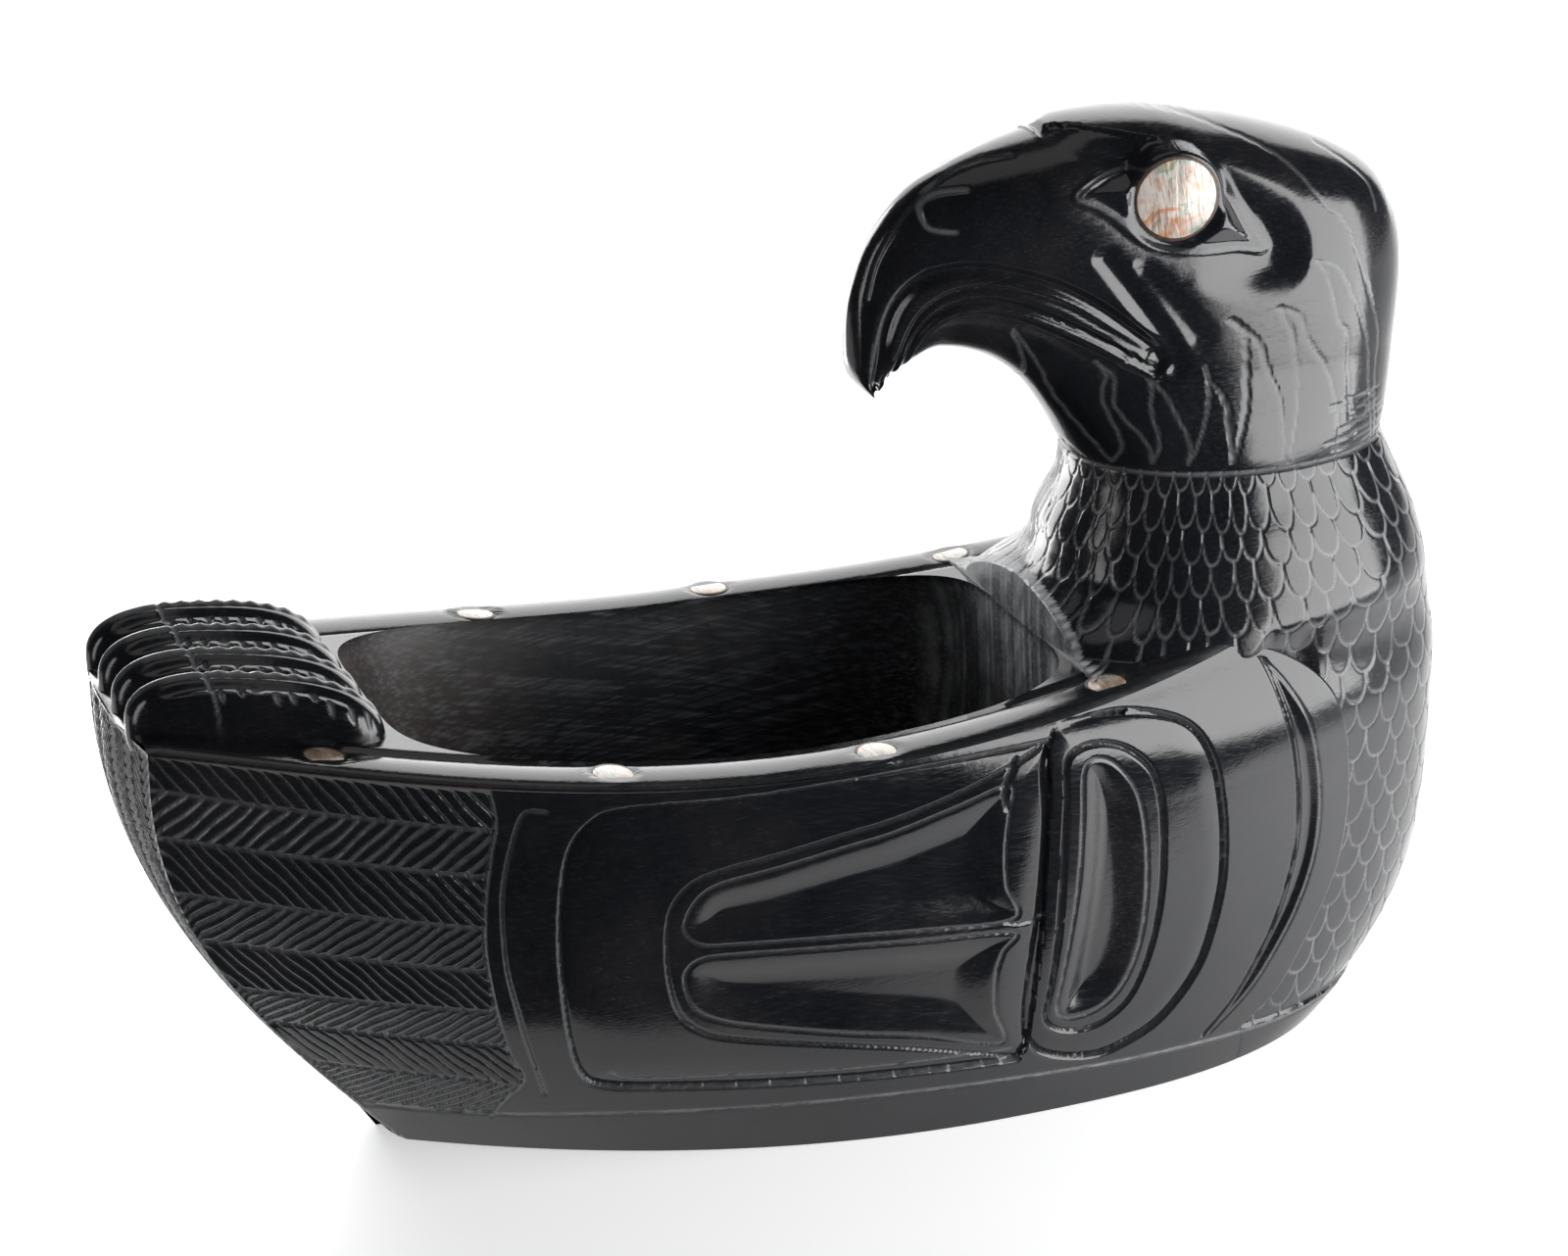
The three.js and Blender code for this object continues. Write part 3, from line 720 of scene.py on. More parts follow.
# The scales hang in rows, each from the tips of the row above.
plumage = Net((-240, -2), (240, 168))
SCALE = 11.2
ROW = 8.3
COUNT = 44
tips = [((i - COUNT / 2) * SCALE, 162.0) for i in range(COUNT + 1)]
for row in range(19):
    below = []
    for (left_x, left_z), (right_x, right_z) in zip(tips[:-1], tips[1:]):
        middle = (left_x + right_x) / 2 + rng.uniform(-1.3, 1.3)
        foot = 162 - (row + 1) * ROW + rng.uniform(-1.4, 1.4)
        half = (right_x - left_x) / 2
        deep = (left_z + right_z) / 2 - foot
        line = curve([(left_x, left_z), (left_x + half * 0.1, foot + deep * 0.5),
                      (left_x + half * 0.45, foot + deep * 0.13), (middle, foot),
                      (right_x - half * 0.45, foot + deep * 0.13),
                      (right_x - half * 0.1, foot + deep * 0.5), (right_x, right_z)])
        plumage.groove(line, 1.15, 0.22, 0.4 * rng.uniform(0.5, 1.15))
        below.append((middle, foot))
    spare = (below[-1][0] + SCALE, below[-1][1]) if row % 2 == 0 else (below[0][0] - SCALE, below[0][1])
    tips = below + [spare] if row % 2 == 0 else [spare] + below
plumage.depth = np.maximum(plumage.depth, -0.28)

# How far the bowl's wall stands from the neck's axis, by height and by bearing.
heights = np.linspace(-1, 165, 167)
bearings = np.radians(np.linspace(0, 180, 181))
hull_reach = np.zeros((167, 181))
for j, z in enumerate(heights):
    level = np.full(2000, np.clip(z / 119.7, 0, 1))
    x = np.linspace(-20, plan(level[0])["breast"], 2000)
    y = half_breadth(x, level)
    bearing = np.arctan2(y, x - AXIS)
    order = np.argsort(bearing)
    hull_reach[j] = np.interp(bearings, bearing[order], np.hypot(x - AXIS, y)[order])


def spline(x, knots, values):
    """A smooth curve through a few values."""
    slopes = np.gradient(values, knots)
    i = np.clip(np.searchsorted(knots, x) - 1, 0, len(knots) - 2)
    h = knots[i + 1] - knots[i]
    t = np.clip((x - knots[i]) / h, 0, 1)
    return ((2 * t**3 - 3 * t**2 + 1) * values[i] + (t**3 - 2 * t**2 + t) * h * slopes[i]
            + (3 * t**2 - 2 * t**3) * values[i + 1] + (t**3 - t**2) * h * slopes[i + 1])


def base_height(x):
    """Height of the plain band round the foot, at the breast."""
    return np.interp(x, [100, 146, 181], [9.4, 6.4, 6.0])


def neck_place(bearing, z):
    """The neck's surface, running down into the bowl's wall at the breast and the rim at the sides."""
    rise = z - RIM_HEIGHT
    inset, longer, broader = (spline(rise, SECTIONS[:, 0], SECTIONS[:, k]) for k in (1, 2, 3))
    a = (88.5 + longer) / 2
    b = 32 + broader
    middle = BREAST - inset - a
    c, s = np.cos(bearing), np.sin(bearing)
    astern = np.abs(np.degrees(bearing))
    gap = AXIS - middle
    qa = (c / a) ** 2 + (s / b) ** 2
    qb = 2 * gap * c / a**2
    qc = (gap / a) ** 2 - 1
    neck = (-qb + np.sqrt(np.maximum(0, qb**2 - 4 * qa * qc))) / (2 * qa)
    hull = between(hull_reach, np.clip(z - heights[0], 0, 165.999), np.clip(astern, 0, 179.999))
    above_base = z - base_height(AXIS + hull * c) - 0.2
    hull = hull - 0.03 - 1.4 * smooth(np.abs(s) * 1.3) * smooth(above_base / 2)
    rear = smooth((astern - 74 - 24 * smooth((52 - z) / 40)) / 8)
    low = mix(hull, hull - 4.0, rear)
    inboard = smooth((astern - 92) / 10)
    start = mix(98.0, mix(104.0, 112.0, inboard), rear)
    end = mix(128.0, mix(125.0, 116.0, inboard), rear)
    reach = mix(low, neck, smooth((z - start) / (end - start)))
    wall = np.where(z < SILL, HOLLOW_FORE + 3, HOLLOW_FORE - 0.05)
    reach = np.where(c < -0.02, np.minimum(reach, (AXIS - wall) / np.maximum(-c, 0.02)), reach)
    return np.column_stack([AXIS + reach * c, reach * s, z])


def plumage_relief(points, u, v):
    """Scales over the neck and breast, with the hollow's fore wall left plain and chalky."""
    bearing = np.arctan2(points[:, 1], points[:, 0] - AXIS)
    degrees = np.degrees(np.abs(bearing))
    girth = np.sign(bearing) * np.interp(degrees, [0, 95, 125, 180], [0, 104, 150, 238])
    depth, chalk = plumage.sample(girth, points[:, 2])
    base_top = base_height(points[:, 0])
    scaled = smooth((points[:, 2] - base_top) / 1.0)
    base_cut = np.clip(1 - np.abs(points[:, 2] - base_top) / 0.65, 0, 1)
    depth, chalk = depth * scaled - 0.4 * base_cut, chalk * scaled + 0.35 * base_cut
    cut_face = (points[:, 0] < HOLLOW_FORE + 0.3) & (points[:, 2] < WALL_TOP)
    lip = np.clip(1 - np.abs(points[:, 2] - NECK_LINE + 0.8) / 0.8, 0, 1)
    depth = depth - 0.5 * lip
    chalk = np.maximum(chalk, 0.35 * lip)
    edge = (np.abs(points[:, 0] - HOLLOW_FORE) < 2.2) & (points[:, 2] > 113) & ~cut_face
    worn = 0.75 + 0.3 * np.sin(points[:, 1] * 1.7 + points[:, 2])
    chalk = np.where(edge, np.maximum(chalk, worn), chalk)
    return np.where(cut_face, 0, depth), np.where(cut_face, bloom_on_wall(points), chalk)


def axis_core(points):
    """The place on the neck's axis at each point's height."""
    inner = points.copy()
    inner[:, 0], inner[:, 1] = AXIS, 0
    return inner


BREAST_TOP = 100.0


def neck_grid(u, v):
    return neck_place(mix(-np.pi, np.pi, v), mix(BREAST_TOP, NECK_LINE, u))


def breast_grid(u, v):
    bearing = np.radians(np.interp(v, [0, 0.04, 0.96, 1], [-180, -100, 100, 180]))
    return neck_place(bearing, mix(0.02, BREAST_TOP, u))


neck = skin("neck_plumage", int(150 * FINE), int(600 * FINE), neck_grid, polished,
            plumage_relief, axis_core)
neck.data.materials.append(hollowed)
centres = read(neck.data.polygons, "center") / MM
scraped = (centres[:, 0] < HOLLOW_FORE + 0.2) & (centres[:, 2] < WALL_TOP)
neck.data.polygons.foreach_set("material_index", scraped.astype(np.int32))
stone(neck)
stone(skin("breast_plumage", int(220 * FINE), int(400 * FINE), breast_grid, polished,
           plumage_relief, axis_core))

# ---- Head and beak ----
# An eagle's head turned back over the bowl: a heavy brow, a deep socket round the shell eye, a
# hooked beak with a carved mouth, and long pointed feathers scratched down to the neck line.
side_view = Net((-112, -4), (50, 94))
HEAD_HIGH = 88.6 / 89.5

# The head's outline, as x from the neck's middle and height over the neck line.
crown_line = curve([(43.5, 0), (45, 12), (46, 24.5), (46.5, 44.5), (44, 58), (38, 69), (28, 76), (13, 82),
                    (-6, 87), (-26, 89.5), (-46, 89.4), (-58, 86.6), (-68, 84), (-79, 80.4),
                    (-91.5, 73.8), (-101.5, 62), (-106.5, 47.5), (-107.3, 34.5), (-106, 28), (-103, 23.8)],
                   step=0.4)
throat_line = curve([(-45, 0), (-51.5, 11.5), (-60, 22.5), (-71, 30), (-83, 33), (-90, 30.5), (-94, 27.5),
                     (-97, 26.5), (-99, 23.1), (-100, 24.5), (-101.5, 23.2)], step=0.4)


def along(line, t):
    """The place on a line at a share of its length."""
    run = np.concatenate([[0], np.cumsum(np.hypot(*np.diff(line, axis=0).T))])
    run /= run[-1]
    return np.interp(t, run, line[:, 0]), np.interp(t, run, line[:, 1])


EYE = (-28.4, 71.3)
CHEEK_SLOPE = 0.14


def head_half(across):
    """Half the head's breadth: widest at the nape, then narrowing evenly to the beak."""
    behind = np.maximum(0, across - EYE[0])
    ahead = np.maximum(0, EYE[0] - across)
    cheek = 26.3 + CHEEK_SLOPE * behind - 0.0016 * behind**2 - CHEEK_SLOPE * ahead - 0.0016 * ahead**2
    tip = 30.5 * (1 - np.exp(-(np.maximum(0, across + 107.5) + 4) / 30)) + 0.3
    return np.minimum(cheek, tip)


def head_place(t, turn):
    """The head's surface: from the neck line to the beak's tip by t, and round it by turn."""
    ax, az = along(throat_line, t)
    bx, bz = along(crown_line, t)
    w = -np.cos(2 * np.pi * turn)
    x = mix(ax, bx, (1 + w) / 2)
    z = mix(az, bz, (1 + w) / 2)
    square = np.interp(t, [0, 0.12, 0.3, 0.55, 0.75, 1], [2.0, 2.6, 3.5, 3.4, 2.5, 2.0])
    swell = np.sqrt(np.maximum(0, 1 - np.abs(w) ** square))
    wide = mix(32.0, head_half(x), smooth(z / 26))
    y = np.sign(np.sin(2 * np.pi * turn)) * swell * wide
    return np.column_stack([NECK_X + x, y, NECK_LINE + z * HEAD_HIGH])


eye_depth = head_half(EYE[0]) - 2.2

# The eye's socket, sunk from a sharp brow, with the cap raised over it and the eyeball in it.
brow = curve([(-58.5, 83.5), (-56.5, 86.5), (-51, 88), (-44, 87.6), (-36, 86.2), (-26, 84.2), (-15, 81.5),
              (-5, 77.5), (3.5, 71.5), (8, 64), (9.6, 57), (8.8, 51.5), (5.8, 46.5), (0.5, 43.6),
              (-7.5, 42.6), (-16, 44), (-25, 46.5)])
face = curve([(-25, 46.5), (-36, 50), (-47, 57), (-57, 67), (-61.5, 76), (-58.5, 83.5)])
socket = np.vstack([brow, face])
in_socket = side_view.within(socket)
from_brow = side_view.near(brow, 20)
from_face = side_view.near(face, 28)
A, H = np.meshgrid(side_view.u, side_view.v, indexing="ij")
steep = mix(4.0, 12.0, smooth((A + 34) / 34) * smooth((92 - H) / 18))
side_view.depth -= 3.9 * smooth(from_brow / steep) * smooth(from_face / 24) * in_socket
cap_front = np.array([(-58.5, 83.5), (-56.0, 88.0), (-54.0, 110.0)])
cap = np.vstack([brow[:70], [(-4, 110), (-54, 110)]])
cap_rise = smooth(side_view.near(cap_front, 1.6) / 1.6 * side_view.within(cap))
side_view.depth += cap_rise * smooth((-8 - A) / 20)
lid = curve([(-54, 74), (-50, 77.4), (-45, 80), (-38, 82), (-30, 82.4), (-22, 81), (-16, 77.5),
             (-11.5, 70.5), (-8, 63.5), (-4, 57), (-12, 58), (-22, 58.2), (-31, 59.5), (-38, 63),
             (-44.5, 68.5), (-49, 71.5)], closed=True)
side_view.depth += 3.4 * smooth(side_view.near(lid, 7) / 7) * side_view.within(lid)
side_view.depth += 0.7 * smooth(1 - side_view.near(lid, 1.9) / 1.9)
side_view.groove(lid, 1.5, 0.35, 0.12)

# The mouth: three furrows along the beak, with the lip raised under them.
mouth_top = curve([(-101, 27), (-100, 39), (-97, 48), (-91, 54), (-84, 56), (-76.5, 56), (-67.5, 54),
                   (-58, 50.5), (-48.5, 45), (-40, 38.5), (-34, 33.5), (-31.5, 29.5)])
mouth_middle = curve([(-96, 27), (-94.5, 37), (-91.5, 44.5), (-86, 49.5), (-79, 51.6), (-72, 51), (-64, 49),
                      (-55, 45), (-45, 38.5), (-35, 31.5)])
lip = curve([(-93.5, 27), (-92.5, 37), (-88.5, 43.5), (-83, 47), (-77, 48), (-72, 47.4), (-64, 44.8),
             (-55, 40.5), (-45, 35), (-39, 31.2), (-32, 27)])
side_view.valley(mouth_top, 6.2, 1.7)
side_view.valley(mouth_middle, 3.0, 0.8)
side_view.valley(lip, 3.2, 1.0)
side_view.depth += 0.5 * np.clip(1 - side_view.near(lip - [0, 2.0], 1.4) / 1.4, 0, 1)

# The nostril, the ridge of the beak, and the folds behind the corner of the mouth.
side_view.groove(curve([(-79, 76), (-85.5, 75), (-89.5, 72.8), (-90.5, 70.3), (-89.5, 67.4), (-87, 66.3),
                        (-83, 66)]), 1.6, 0.5, 0.5)
culmen = curve([(-66, 83), (-74, 81.6), (-82, 78.6), (-90, 73), (-96, 66.5), (-101, 58), (-103.5, 49)])
side_view.groove(culmen, 1.4, 0.25, 0.08)
side_view.valley(curve([(-47, 58), (-41, 50), (-35, 42), (-29.5, 34), (-27, 28)]), 8.5, 1.0)
side_view.valley(curve([(-37, 53), (-31, 47), (-26, 41), (-22, 36)]), 11.0, 0.7)

# Long feathers scratched down to the neck line, and short strokes at the nape.
for quill in ([(-68, 39), (-62, 28), (-58, 16), (-44, 0)], [(-68, 40), (-59, 28), (-53, 18), (-40, 1)],
              [(-47, 30), (-44, 26), (-44, 19), (-39, 7), (-40, 1)],
              [(-47, 30), (-42, 25), (-41, 17), (-34, 8), (-32, 2)],
              [(-34, 25), (-33, 22), (-33, 16), (-31, 8), (-32, 2)],
              [(-34, 25), (-30, 21), (-27, 15), (-24, 8), (-24, 2)],
              [(-20, 28), (-19, 24), (-19, 18), (-21, 10), (-24, 2)],
              [(-19, 24), (-15, 19), (-14, 13), (-13, 2)],
              [(-14, 40), (-10, 36), (-9, 26), (-9, 17), (-11, 9), (-13, 2)],
              [(-14, 40), (-6, 33), (-3, 25), (0, 18), (1, 9), (1, 0)],
              [(-1, 42), (3, 35), (5, 25), (5, 14), (2, 0)],
              [(-1, 42), (5, 39), (8, 32), (13, 25), (16, 18), (18, 8), (18, -1)],
              [(9, 53), (13, 48), (17, 36), (20, 32), (21, 20), (22, 9)],
              [(9, 53), (15, 51), (19, 46), (24, 36), (28, 26), (29, 16), (33, -1)],
              [(-36, 91), (-21, 89), (-11, 86), (-1, 81), (6, 75), (12, 67), (18, 62), (22, 53), (27, 41),
               (32, 29), (32, 16), (35, -3)],
              [(17, 79), (23, 75), (29, 69), (30, 62)]):
    bent = curve(quill)
    bent = bent + 0.1 * np.column_stack([np.sin(bent[:, 1] * 1.3), np.sin(bent[:, 0] * 1.7)])
    side_view.groove(bent, 1.2, 0.25, 0.24)
for _ in range(46):
    x, z = rng.uniform(14, 36), rng.uniform(0.5, 15)
    side_view.groove(np.array([(x, z), (x + rng.uniform(2, 8), z + rng.uniform(-0.5, 0.6))]), 1.0, 0.2, 0.2)


def head_relief(points, u, v):
    across = points[:, 0] - NECK_X
    up = (points[:, 2] - NECK_LINE) / HEAD_HIGH
    return side_view.sample(across, up)


def eye_seat(points):
    """Turns the stone flat round the eye's shell."""
    across, up = points[:, 0] - NECK_X, points[:, 2] - NECK_LINE
    gap = np.hypot(across - EYE[0], up - EYE[1])
    plane = np.sign(points[:, 1]) * (eye_depth + CHEEK_SLOPE * (across - EYE[0]) - 0.15)
    blend = smooth((13.8 - gap) / 2.5)
    points[:, 1] = mix(points[:, 1], plane, blend)
    return points


def head_core(points):
    """The nearest place in the middle of the head."""
    inner = points.copy()
    inner[:, 1] = 0
    inner[:, 0] = np.clip(points[:, 0], NECK_X - 95, NECK_X + 25)
    inner[:, 2] = np.clip(points[:, 2], NECK_LINE - 1, NECK_LINE + 70)
    return inner


# Where the head's piece ends and the beak's begins, as a share of the outline.
MEET = 0.52


def head_grid(u, v):
    return head_place(u * MEET, v)


def beak_grid(u, v):
    return head_place(mix(MEET, 1, u), v)


for name, columns, place in (("head", 250, head_grid), ("beak", 240, beak_grid)):
    piece = skin(name, int(columns * FINE), int(380 * FINE), place, polished, head_relief, head_core)
    move(piece.data, eye_seat(read(piece.data.vertices, "co") / MM))
    stone(piece)

# ---- Tail tips ----
# Four rounded feather tips lie side by side on the stern deck. Each is cut across once and nicked
# with short gouges along its crest, and a painted highlight runs along the crest as a pale line.
TIP_HALF_LENGTH = 30.5
TIP_HALF_BREADTH = 9.5
TIP_HEIGHT = 15
TIP_PITCH = 16.4
for index in range(4):
    grid = bmesh.new()
    bmesh.ops.create_uvsphere(grid, u_segments=int(220 * FINE), v_segments=int(110 * FINE), radius=1.0)
    mesh = bpy.data.meshes.new(f"tail_tip_{index + 1}")
    grid.to_mesh(mesh)
    grid.free()
    px, py, pz = read(mesh.vertices, "co").T
    x = TIP_HALF_LENGTH * np.sign(px) * np.abs(px) ** 0.75
    spread = 1 + 0.13 * x / TIP_HALF_LENGTH
    y = spread * ((index - 1.5) * TIP_PITCH + TIP_HALF_BREADTH * np.sign(py) * np.abs(py) ** 0.85)
    z = TIP_HEIGHT * np.sign(pz) * np.abs(pz) ** 0.8 - 0.16 * x
    chalk = np.zeros_like(x)
    gouges = [(-9 + 4.3 * k + rng.uniform(-0.7, 0.7), rng.uniform(-0.62, -0.45)) for k in range(9)]
    for gouge_x, gouge_y in gouges:
        for off in (py - gouge_y, py + gouge_y):
            nick = np.clip(1 - np.hypot((x - gouge_x) / 0.9, off / 0.17), 0, 1) * (pz > 0)
            z -= 1.3 * nick
            chalk = np.maximum(chalk, 0.75 * nick)
    cross_cut = np.clip(1 - np.abs(x + 11.5 + 1.2 * py) / 0.7, 0, 1) * np.clip(pz, 0, 1)
    z -= 0.6 * cross_cut
    chalk = np.maximum(chalk, 0.7 * cross_cut)
    crest = smooth(1 - np.abs(py - 0.04) / 0.15) * (pz > 0)
    z += crest * (0.9 + 0.25 * np.sin(x * 1.4 + index) * smooth((x + 12) / 3))
    z -= 0.9 * smooth(1 - np.abs(py + 0.36) / 0.24) * (pz > 0) * smooth((27 - np.abs(x)) / 8)
    # Painted highlight: the pale line along each raised crest stands for light caught by the ridge, laid in
    # through the chalk attribute; the gouges and the cross cut hold real chalk.
    chalk = np.maximum(chalk, 0.3 * crest)
    move(mesh, np.column_stack([STERN + 31.5 + x, y, sheer(STERN) - 5 + z]))
    lay(mesh, "chalk", chalk)
    stone(finish_piece(f"tail_tip_{index + 1}", mesh, polished))

# ---- Shell inlays ----
# Flat discs of abalone pressed into brown pitch: one for each eye and four along each side of the
# rim. They are a little out of round, and the pitch shows as a thin ring.


def nacre(name, tones):
    """Abalone shell: patches of colour, drawn out along the grain, with brown seams."""
    material = bpy.data.materials.new(name)
    material.use_nodes = True
    tree = material.node_tree
    surface = tree.nodes["Principled BSDF"]
    grain = add(tree, "Attribute", attribute_name="grain").outputs["Vector"]
    long = add(tree, "Mapping", {"Vector": grain, "Scale": (0.5, 0.07, 1)})
    bent = add(tree, "TexNoise", {"Vector": long.outputs[0], "Scale": 1.1, "Detail": 5.0,
                                  "Distortion": 0.9})
    patch = add(tree, "TexNoise", {"Vector": grain, "Scale": 0.13, "Detail": 3.0, "Distortion": 1.2})
    fine = add(tree, "Mapping", {"Vector": grain, "Scale": (1.6, 0.12, 1)})
    lines = add(tree, "TexNoise", {"Vector": fine.outputs[0], "Scale": 1.0, "Detail": 4.0})
    hue = ramp(tree, patch.outputs["Fac"], tones)
    light = ramp(tree, bent.outputs["Fac"], [(0.3, 0.5), (0.47, 1.0), (0.6, 0.66), (0.75, 1.0)])
    lit = add(tree, "MixRGB", {"Fac": 1.0, "Color1": hue, "Color2": light}, blend_type="MULTIPLY")
    dark = add(tree, "MapRange", {"Value": lines.outputs["Fac"], "From Min": 0.36, "From Max": 0.42,
                                  "To Min": 0.75, "To Max": 0.0})
    seamed = add(tree, "MixRGB", {"Fac": dark.outputs[0], "Color1": lit.outputs[0],
                                  "Color2": (0.26, 0.13, 0.08, 1)})
    tree.links.new(seamed.outputs[0], surface.inputs["Base Color"])
    surface.inputs["Roughness"].default_value = 0.24
    surface.inputs["Metallic"].default_value = 0.15
    surface.inputs["Coat Weight"].default_value = 0.5
    surface.inputs["Coat Roughness"].default_value = 0.12
    bump = add(tree, "Bump", {"Height": bent.outputs["Fac"], "Distance": 0.0003, "Strength": 0.5})
    tree.links.new(bump.outputs[0], surface.inputs["Normal"])
    return material


eye_shell = nacre("abalone of the eyes", [
    (0.3, (0.6, 0.24, 0.08)), (0.4, (0.66, 0.42, 0.3)), (0.48, (0.72, 0.63, 0.57)),
    (0.56, (0.66, 0.62, 0.56)), (0.62, (0.3, 0.38, 0.31)), (0.72, (0.68, 0.55, 0.32))])
rim_shell = nacre("abalone of the rim", [
    (0.3, (0.3, 0.19, 0.11)), (0.45, (0.5, 0.38, 0.27)), (0.55, (0.62, 0.57, 0.5)),
    (0.7, (0.36, 0.42, 0.36))])

pitch = bpy.data.materials.new("brown pitch")
pitch.use_nodes = True
tree = pitch.node_tree
place = add(tree, "TexCoord").outputs["Object"]
lump = add(tree, "TexNoise", {"Vector": place, "Scale": 700.0, "Detail": 3.0})
tree.links.new(ramp(tree, lump.outputs["Fac"], [(0.3, (0.02, 0.01, 0.006)), (0.7, (0.075, 0.038, 0.018))]),
               tree.nodes["Principled BSDF"].inputs["Base Color"])
tree.nodes["Principled BSDF"].inputs["Roughness"].default_value = 0.45

SHELL_THICK = 1.6
PITCH_RING = 0.8
PITCH_BED = 1.1
PITCH_LOW = 0.06


def inlay(name, centre, outwards, radius, material):
    """A disc of shell in its bed of pitch, its face at a centre and turned outwards."""
    turn = Vector((0, 0, 1)).rotation_difference(Vector(outwards).normalized()).to_matrix().to_4x4()
    for piece, wide, low, high, finish, slot in (
        ("shell", radius, -SHELL_THICK, 0.0, material, "abalone_shell"),
        ("pitch", radius + PITCH_RING, -SHELL_THICK - PITCH_BED, -PITCH_LOW, pitch, "pitch"),
    ):
        disc = bmesh.new()
        bmesh.ops.create_cone(disc, cap_ends=True, segments=96, radius1=wide, radius2=wide,
                              depth=high - low)
        top = [e for e in disc.edges if all(v.co.z > 0 for v in e.verts)]
        bmesh.ops.bevel(disc, geom=top, affect="EDGES", offset=0.18, segments=2, profile=0.5,
                        material=-1)
        seed = rng.uniform(0, 6.28, 3)
        for v in disc.verts:
            angle = math.atan2(v.co.y, v.co.x)
            out = 1 + 0.012 * math.sin(2 * angle + seed[0]) + 0.01 * math.sin(3 * angle + seed[1])
            v.co.x *= out
            v.co.y *= out
            v.co.z += (high + low) / 2
        mesh = bpy.data.meshes.new(f"{piece}_{name}")
        disc.to_mesh(mesh)
        disc.free()
        layer = mesh.attributes.new("grain", "FLOAT_VECTOR", "POINT")
        grain = [(v.co.x + 40 * seed[2], v.co.y, 10 * seed[1]) for v in mesh.vertices]
        layer.data.foreach_set("vector", np.array(grain, np.float32).ravel())
        mesh.transform(turn)
        for v in mesh.vertices:
            v.co = (v.co + Vector(centre)) * MM
        made = finish_piece(f"{piece}_{name}", mesh, finish)
        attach(made, "root")
        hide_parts(f"{piece}_{name}")


RIM_DISC = 9.6
EYE_DISC = 20.5
for side, side_name in ((-1, "starboard"), (1, "port")):
    for i, x in enumerate(DISC_X):
        y = float(half_breadth(np.array(x), 1.0)) - DISC_INSET[i]
        slope = float(sheer(x + 1) - sheer(x - 1)) / 2
        centre = (x, side * y, float(sheer(x)) - 0.3)
        inlay(f"rim_{side_name}_{i + 1}", centre, (-slope, side * 0.05, 1), RIM_DISC / 2, rim_shell)
    centre = (NECK_X + EYE[0], side * eye_depth, NECK_LINE + EYE[1])
    inlay(f"eye_{side_name}", centre, (-CHEEK_SLOPE, side, 0), EYE_DISC / 2, eye_shell)

# ---- Studio ----
# A pale table with a bright sheet behind it. Small soft lights stand close on the right and behind on
# the left, a narrow one stands further off on the left, and a dim one hangs overhead. Beyond the table
# everything is plain white.
CAMERA_TURN = 21.5
CAMERA_RAISE = 22.0
paper = bpy.data.materials.new("paper")
paper.use_nodes = True
surface = paper.node_tree.nodes["Principled BSDF"]
for socket, value in (("Base Color", (0.9, 0.9, 0.9, 1)), ("Roughness", 0.35),
                      ("Emission Color", (1, 1, 1, 1)), ("Emission Strength", 0.5)):
    surface.inputs[socket].default_value = value
turn = math.radians(-CAMERA_TURN)
# The stone mirrors only the table behind the front strip.
for name, front_edge, back_edge in (("floor", -0.1, 1.5), ("floor_front", -0.3, -0.1)):
    sheet = bmesh.new()
    bmesh.ops.create_grid(sheet, x_segments=1, y_segments=1, size=0.5)
    for v in sheet.verts:
        v.co = (v.co.x * 3, mix(front_edge, back_edge, v.co.y + 0.5), 0)
    bmesh.ops.rotate(sheet, verts=sheet.verts, matrix=Matrix.Rotation(turn, 3, "Z"))
    mesh = bpy.data.meshes.new(name)
    sheet.to_mesh(mesh)
    sheet.free()
    mesh.materials.append(paper)
    made = bpy.data.objects.new(name, mesh)
    made.visible_glossy = name == "floor"
    bpy.context.scene.collection.objects.link(made)

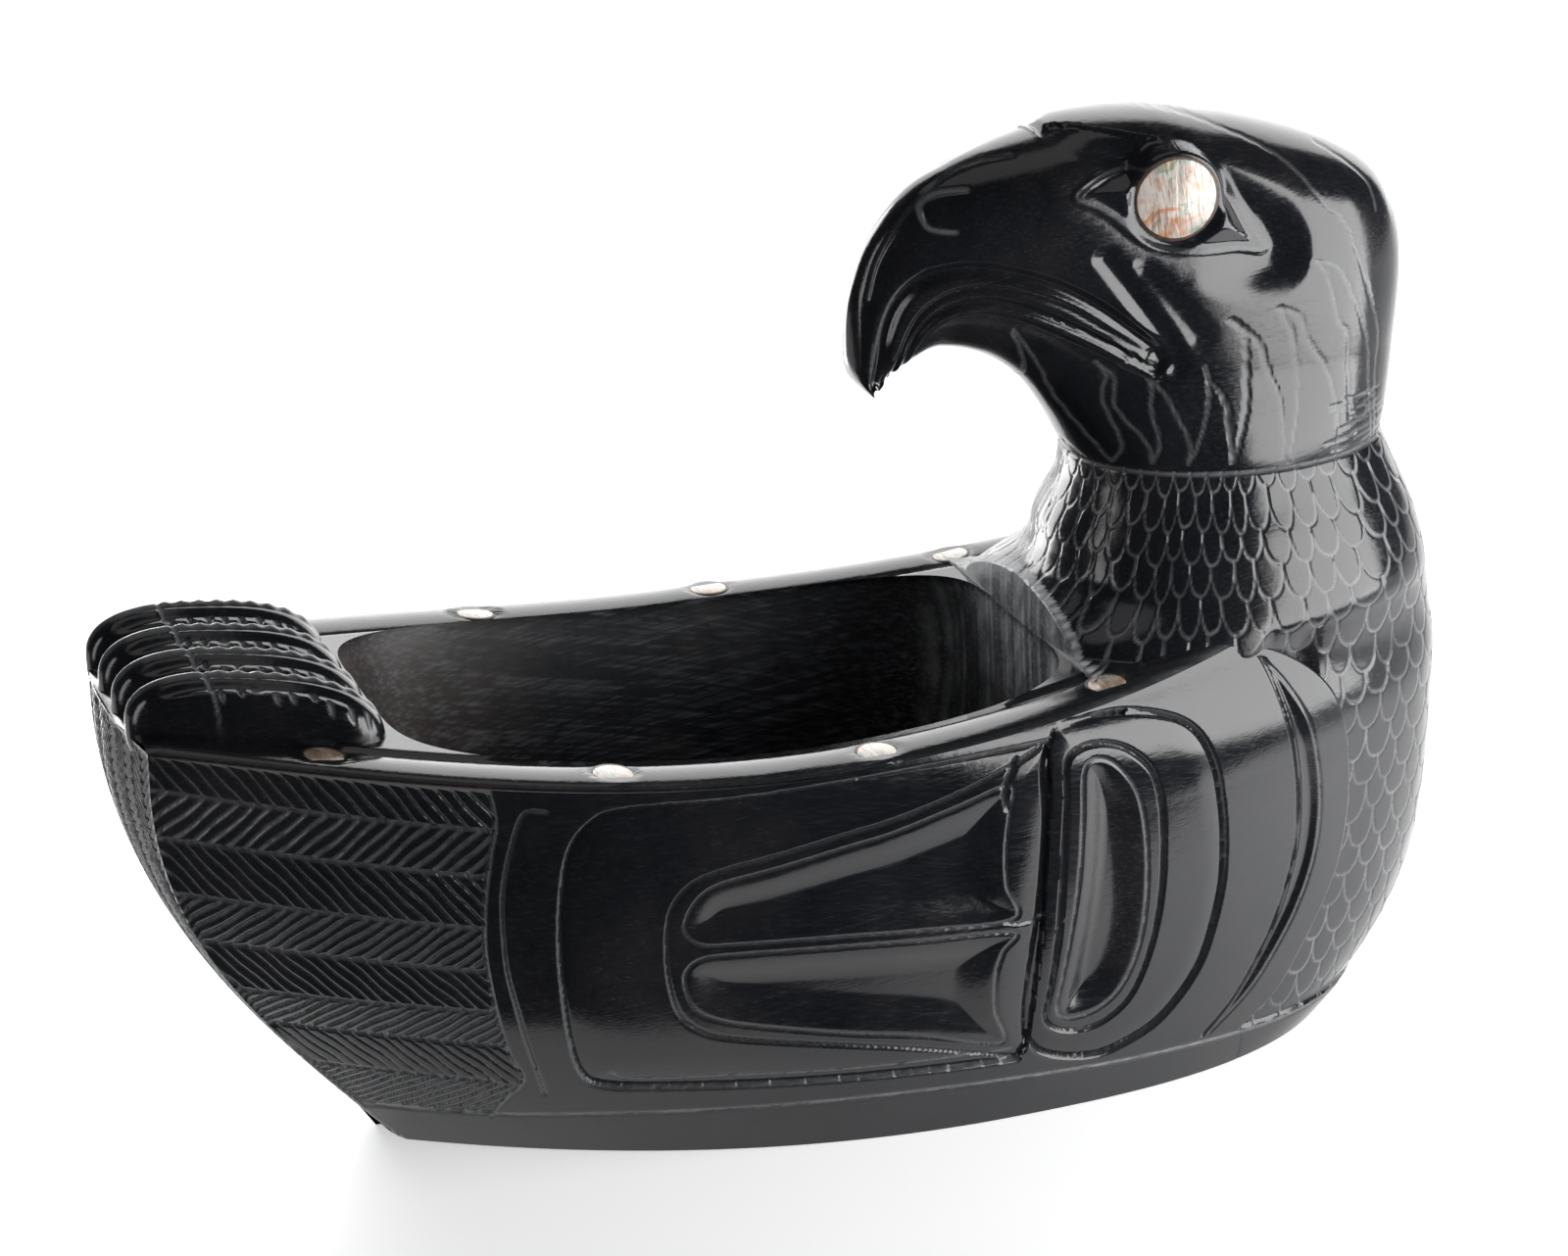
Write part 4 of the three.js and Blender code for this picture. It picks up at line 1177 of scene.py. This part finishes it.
world = bpy.data.worlds.new("studio")
world.use_nodes = True
tree = world.node_tree
seen = add(tree, "LightPath").outputs["Is Camera Ray"]
air = add(tree, "MixRGB", {"Fac": seen, "Color1": (0.035, 0.035, 0.038, 1), "Color2": (1, 1, 1, 1)})
tree.links.new(air.outputs[0], tree.nodes["Background"].inputs["Color"])
bpy.context.scene.world = world


def softbox(name, place, aim, wide, high, radiance):
    """A soft light of a size, at a place, turned to a place."""
    light = bpy.data.lights.new(name, "AREA")
    light.shape = "RECTANGLE"
    light.size, light.size_y = wide, high
    light.energy = radiance * math.pi * wide * high
    made = bpy.data.objects.new(name, light)
    made.location = place
    made.rotation_euler = (Vector(aim) - Vector(place)).to_track_quat("-Z", "Y").to_euler()
    made.visible_camera = False
    bpy.context.scene.collection.objects.link(made)


def around_neck(turned, far, up):
    """A place round the neck, turned from the camera's side towards the right."""
    angle = math.radians(-90 - CAMERA_TURN + turned)
    return (NECK_X * MM + far * math.cos(angle), far * math.sin(angle), up)


softbox("overhead", (0.0, 0.0, 1.5), (0.0, 0.0, 0.0), 1.0, 0.8, 0.5)
softbox("backdrop", (0.5, 1.27, 0.8), (0.0, 0.0, 0.8), 2.6, 1.6, 2.8)
softbox("right", (0.338, -0.262, 0.205), (-0.342, 0.471, 0.205), 0.36, 0.3, 6.5)
softbox("left_back", around_neck(-119, 0.42, 0.2), around_neck(-119, 0.0, 0.2), 0.2, 0.4, 8.0)
softbox("left", around_neck(-60, 0.85, 0.3), (0.0, 0, 0.1), 0.16, 0.6, 3.0)

camera = bpy.data.cameras.new("camera")
camera.lens = 90
camera.sensor_width = 36
camera.clip_end = 20
eye = bpy.data.objects.new("camera", camera)
turned, raised = math.radians(CAMERA_TURN), math.radians(CAMERA_RAISE)
back = Vector((-math.sin(turned) * math.cos(raised), -math.cos(turned) * math.cos(raised),
               math.sin(raised)))
target = Vector((-0.0055, 0, 0.121))
eye.location = target + back
eye.rotation_euler = (-back).to_track_quat("-Z", "Y").to_euler()
bpy.context.scene.collection.objects.link(eye)
bpy.context.scene.camera = eye
bpy.context.scene.view_settings.view_transform = "Standard"
